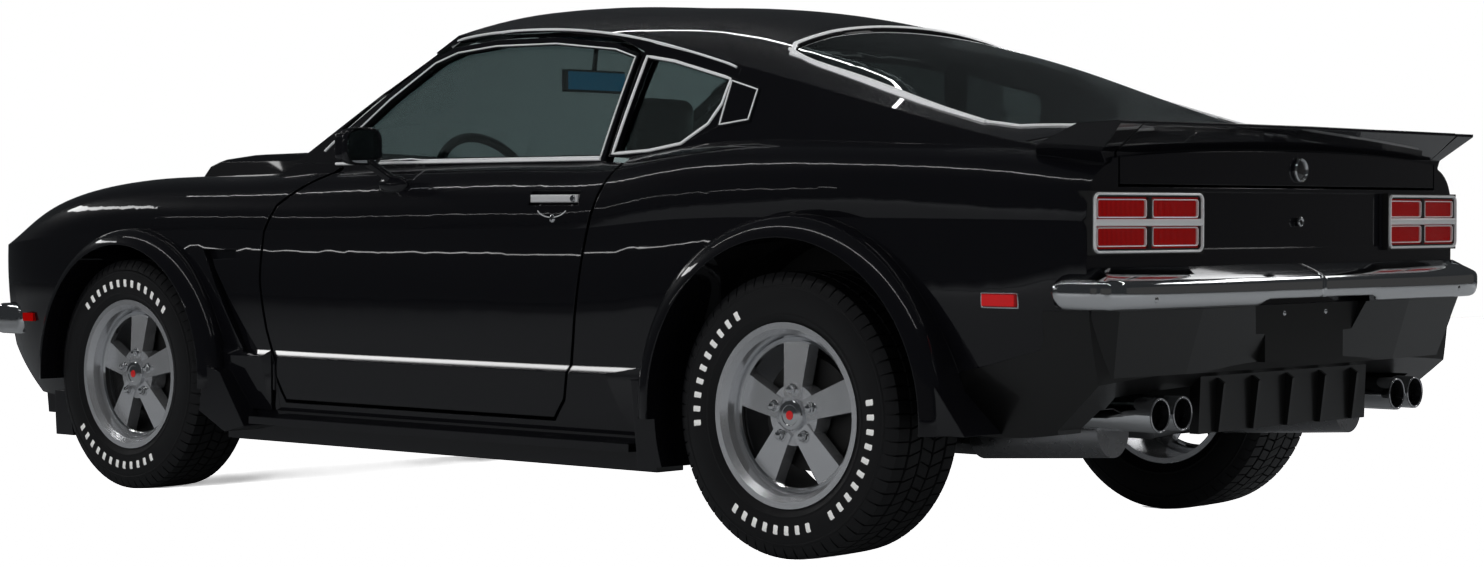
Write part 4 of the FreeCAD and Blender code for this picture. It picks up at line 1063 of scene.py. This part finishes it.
def finish_pad(blank, name, replaced=None):
    subdivide = blank.modifiers.new("subdivide", "SUBSURF")
    subdivide.levels = 1
    subdivide.render_levels = 1
    settled(blank)
    blank.name = name
    blank.data.materials.clear()
    blank.data.materials.append(palette["seat_leather"])
    blank.data.shade_smooth()
    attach(blank, "chassis")
    if replaced:
        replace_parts(blank, replaced)


def mirrored_pad(pad, name):
    mesh = pad.data.copy()
    for vertex in mesh.vertices:
        vertex.co.y = -vertex.co.y
    mesh.flip_normals()
    twin = new_object(name, mesh)
    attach(twin, "chassis")


def add_front_seats():
    cushion = pillow(FRONT_CUSHION, 0.045)
    fill_pad(cushion, 0.011, 0.014)
    press_channels(cushion, FRONT_CHANNELS, 0.007, 0.010, axis=2, level=0.44)
    finish_pad(cushion, "front_cushion_left", "front_seats")
    backrest = pillow(FRONT_BACKREST, 0.038)
    fill_pad(backrest, 0.011, 0.010)
    press_channels(backrest, FRONT_CHANNELS, 0.006, 0.010, axis=0, level=ahead(0.89))
    lean_back(backrest, 0.35, 0.03)
    finish_pad(backrest, "front_backrest_left")
    headrest = pillow(HEADREST, 0.03)
    fill_pad(headrest, 0.009, 0.008)
    finish_pad(headrest, "front_headrest_left")
    mirrored_pad(cushion, "front_cushion_right")
    mirrored_pad(backrest, "front_backrest_right")
    mirrored_pad(headrest, "front_headrest_right")


def add_rear_seat():
    cushion = pillow(REAR_CUSHION, 0.032)
    fill_pad(cushion, 0.014, 0.008)
    press_channels(cushion, REAR_CHANNELS, 0.006, 0.012, axis=2, level=0.55)
    finish_pad(cushion, "rear_cushion", "rear_seat")
    backrest = pillow(REAR_BACKREST, 0.035)
    fill_pad(backrest, 0.014, 0.008)
    press_channels(backrest, REAR_CHANNELS, 0.006, 0.012, axis=0, level=ahead(0.14))
    finish_pad(backrest, "rear_backrest")


def add_seat_frames():
    # the base under each front cushion, and the two posts that carry its headrest
    frames = []
    for sign in SIDES.values():
        right, left = sorted((sign * 0.19, sign * 0.57))
        frames.append(block((ahead(0.86), right, 0.236), (ahead(1.30), left, 0.352)))
        for y in (0.335, 0.427):
            frames.append(lathe(((0.006, 0), (0.006, 0.05)), (ahead(0.838), sign * y, 0.872), (0, 0, 1), 16))
    add_piece("seat_frames", frames, "black_plastic", "chassis")


# Stage: camera, surroundings and lamps

def add_camera():
    data = bpy.data.cameras.new("camera")
    data.lens = LENS_MM
    data.sensor_width = SENSOR_MM
    data.clip_end = 200
    camera = new_object("camera", data)
    flat = math.cos(CAMERA_PITCH)
    view = Vector((math.cos(CAMERA_YAW) * flat, math.sin(CAMERA_YAW) * flat, math.sin(CAMERA_PITCH)))
    camera.rotation_mode = "QUATERNION"
    camera.location = CAMERA_PLACE
    camera.rotation_quaternion = view.to_track_quat("-Z", "Y")
    bpy.context.scene.camera = camera


def add_world():
    # white behind the car, also through its glass; a dark grey studio to its paint and chrome
    world = bpy.data.worlds.new("world")
    bpy.context.scene.world = world
    world.use_nodes = True
    tree = world.node_tree
    link = tree.links.new
    shade = tree.nodes["Background"]
    shade.inputs["Color"].default_value = (0.024, 0.026, 0.028, 1)
    white = tree.nodes.new("ShaderNodeBackground")
    white.inputs["Color"].default_value = (1, 1, 1, 1)
    path = tree.nodes.new("ShaderNodeLightPath")
    either = tree.nodes.new("ShaderNodeMath")
    either.operation = "MAXIMUM"
    mix = tree.nodes.new("ShaderNodeMixShader")
    link(path.outputs["Is Camera Ray"], either.inputs[0])
    link(path.outputs["Is Transmission Ray"], either.inputs[1])
    link(either.outputs["Value"], mix.inputs["Fac"])
    link(shade.outputs["Background"], mix.inputs[1])
    link(white.outputs["Background"], mix.inputs[2])
    link(mix.outputs["Shader"], tree.nodes["World Output"].inputs["Surface"])


def glowing_panel(name, centre, across, along, strength):
    # a studio lamp as a flat panel: half its width and length are the two vectors
    centre, across, along = Vector(centre), Vector(across), Vector(along)
    near, far = centre - along, centre + along
    corners = [near - across, near + across, far + across, far - across]
    material = new_material(name)
    tree = material.node_tree
    tree.nodes.remove(tree.nodes["Principled BSDF"])
    glow = tree.nodes.new("ShaderNodeEmission")
    glow.inputs["Strength"].default_value = strength
    tree.links.new(glow.outputs["Emission"], tree.nodes["Material Output"].inputs["Surface"])
    mesh = new_mesh(name, corners, [(0, 1, 2, 3)])
    mesh.materials.append(material)
    panel = new_object(name, mesh)
    panel.visible_camera = False
    return panel


def add_lamps():
    for side, sign in SIDES.items():
        glowing_panel("lamp_overhead_" + side, (0, sign * 1.865, 3.6), (0, 0.025, 0), (5, 0, 0), strength=11)
        glowing_panel("lamp_low_" + side, (6.4, sign * 6.6, 1.9), (0, 0, 0.013), (2.9, 0, 0), strength=8)
        glowing_panel("lamp_behind_" + side, (-5.8, sign * 5.4, 1.0), (0, 0, 0.9), (-2.9, sign * -1.9, 0),
                      strength=0.045)
    glowing_panel("lamp_rear", (-2.4, -5.6, 4.2), (0, 0.2, 0.3), (3, 0, 0), strength=3)
    glowing_panel("lamp_front", (7.0, 2.5, 3.2), (0, 1.6, 0), (0.3, 0, 0.3), strength=6)


def add_soft_lamps():
    # soft light on rubber, lenses and leather, kept out of reflections
    soft = [glowing_panel("lamp_soft_top", (0, 0, 5.5), (0, 3, 0), (4, 0, 0), strength=1.5)]
    for side, sign in SIDES.items():
        soft.append(glowing_panel("lamp_soft_" + side, (0, sign * 7, 2), (0, 0, 1.8), (4, 0, 0), strength=3))
    soft.append(glowing_panel("lamp_soft_rear", (-7, 0, 1.6), (0, 0, 1.4), (0, 4, 0), strength=2.5))
    for panel in soft:
        panel.visible_glossy = False


def add_floor():
    # to the camera it is as white as the backdrop and keeps the car's shadow
    reach = 14
    corners = [(-reach, -reach, 0), (reach, -reach, 0), (reach, reach, 0), (-reach, reach, 0)]
    mesh = new_mesh("floor", corners, [(0, 1, 2, 3)])
    mesh.materials.append(plain("floor", (0.24, 0.25, 0.26), 0.9))
    floor = new_object("floor", mesh)
    floor.is_shadow_catcher = True


palette = make_materials()
dress_nodes()
skins = {side: skin_tree(side) for side in SIDES}
for side in SIDES:
    add_window_trims(side)
    add_pillar_lock(side)
    add_door_mirror(side)
    add_door_lock(side)
    add_door_handle_details(side)
    add_rear_marker(side)
    add_tail_lamp_frames(side)
    add_headlamp(side)
    add_exhaust_tips(side)
    add_rear_window_band(side)
    for axle in AXLE_X:
        add_tyre(axle, side)
        add_wheel_details(axle, side)
add_badge()
add_boot_lock()
add_rear_bolts()
add_rear_window_surround()
add_grille_surround()
add_bumpers()
add_interior_mirror_glass()
add_dials()
add_front_seats()
add_rear_seat()
add_seat_frames()
add_world()
add_lamps()
add_soft_lamps()
add_floor()
add_camera()
bpy.context.scene.view_settings.view_transform = "Standard"
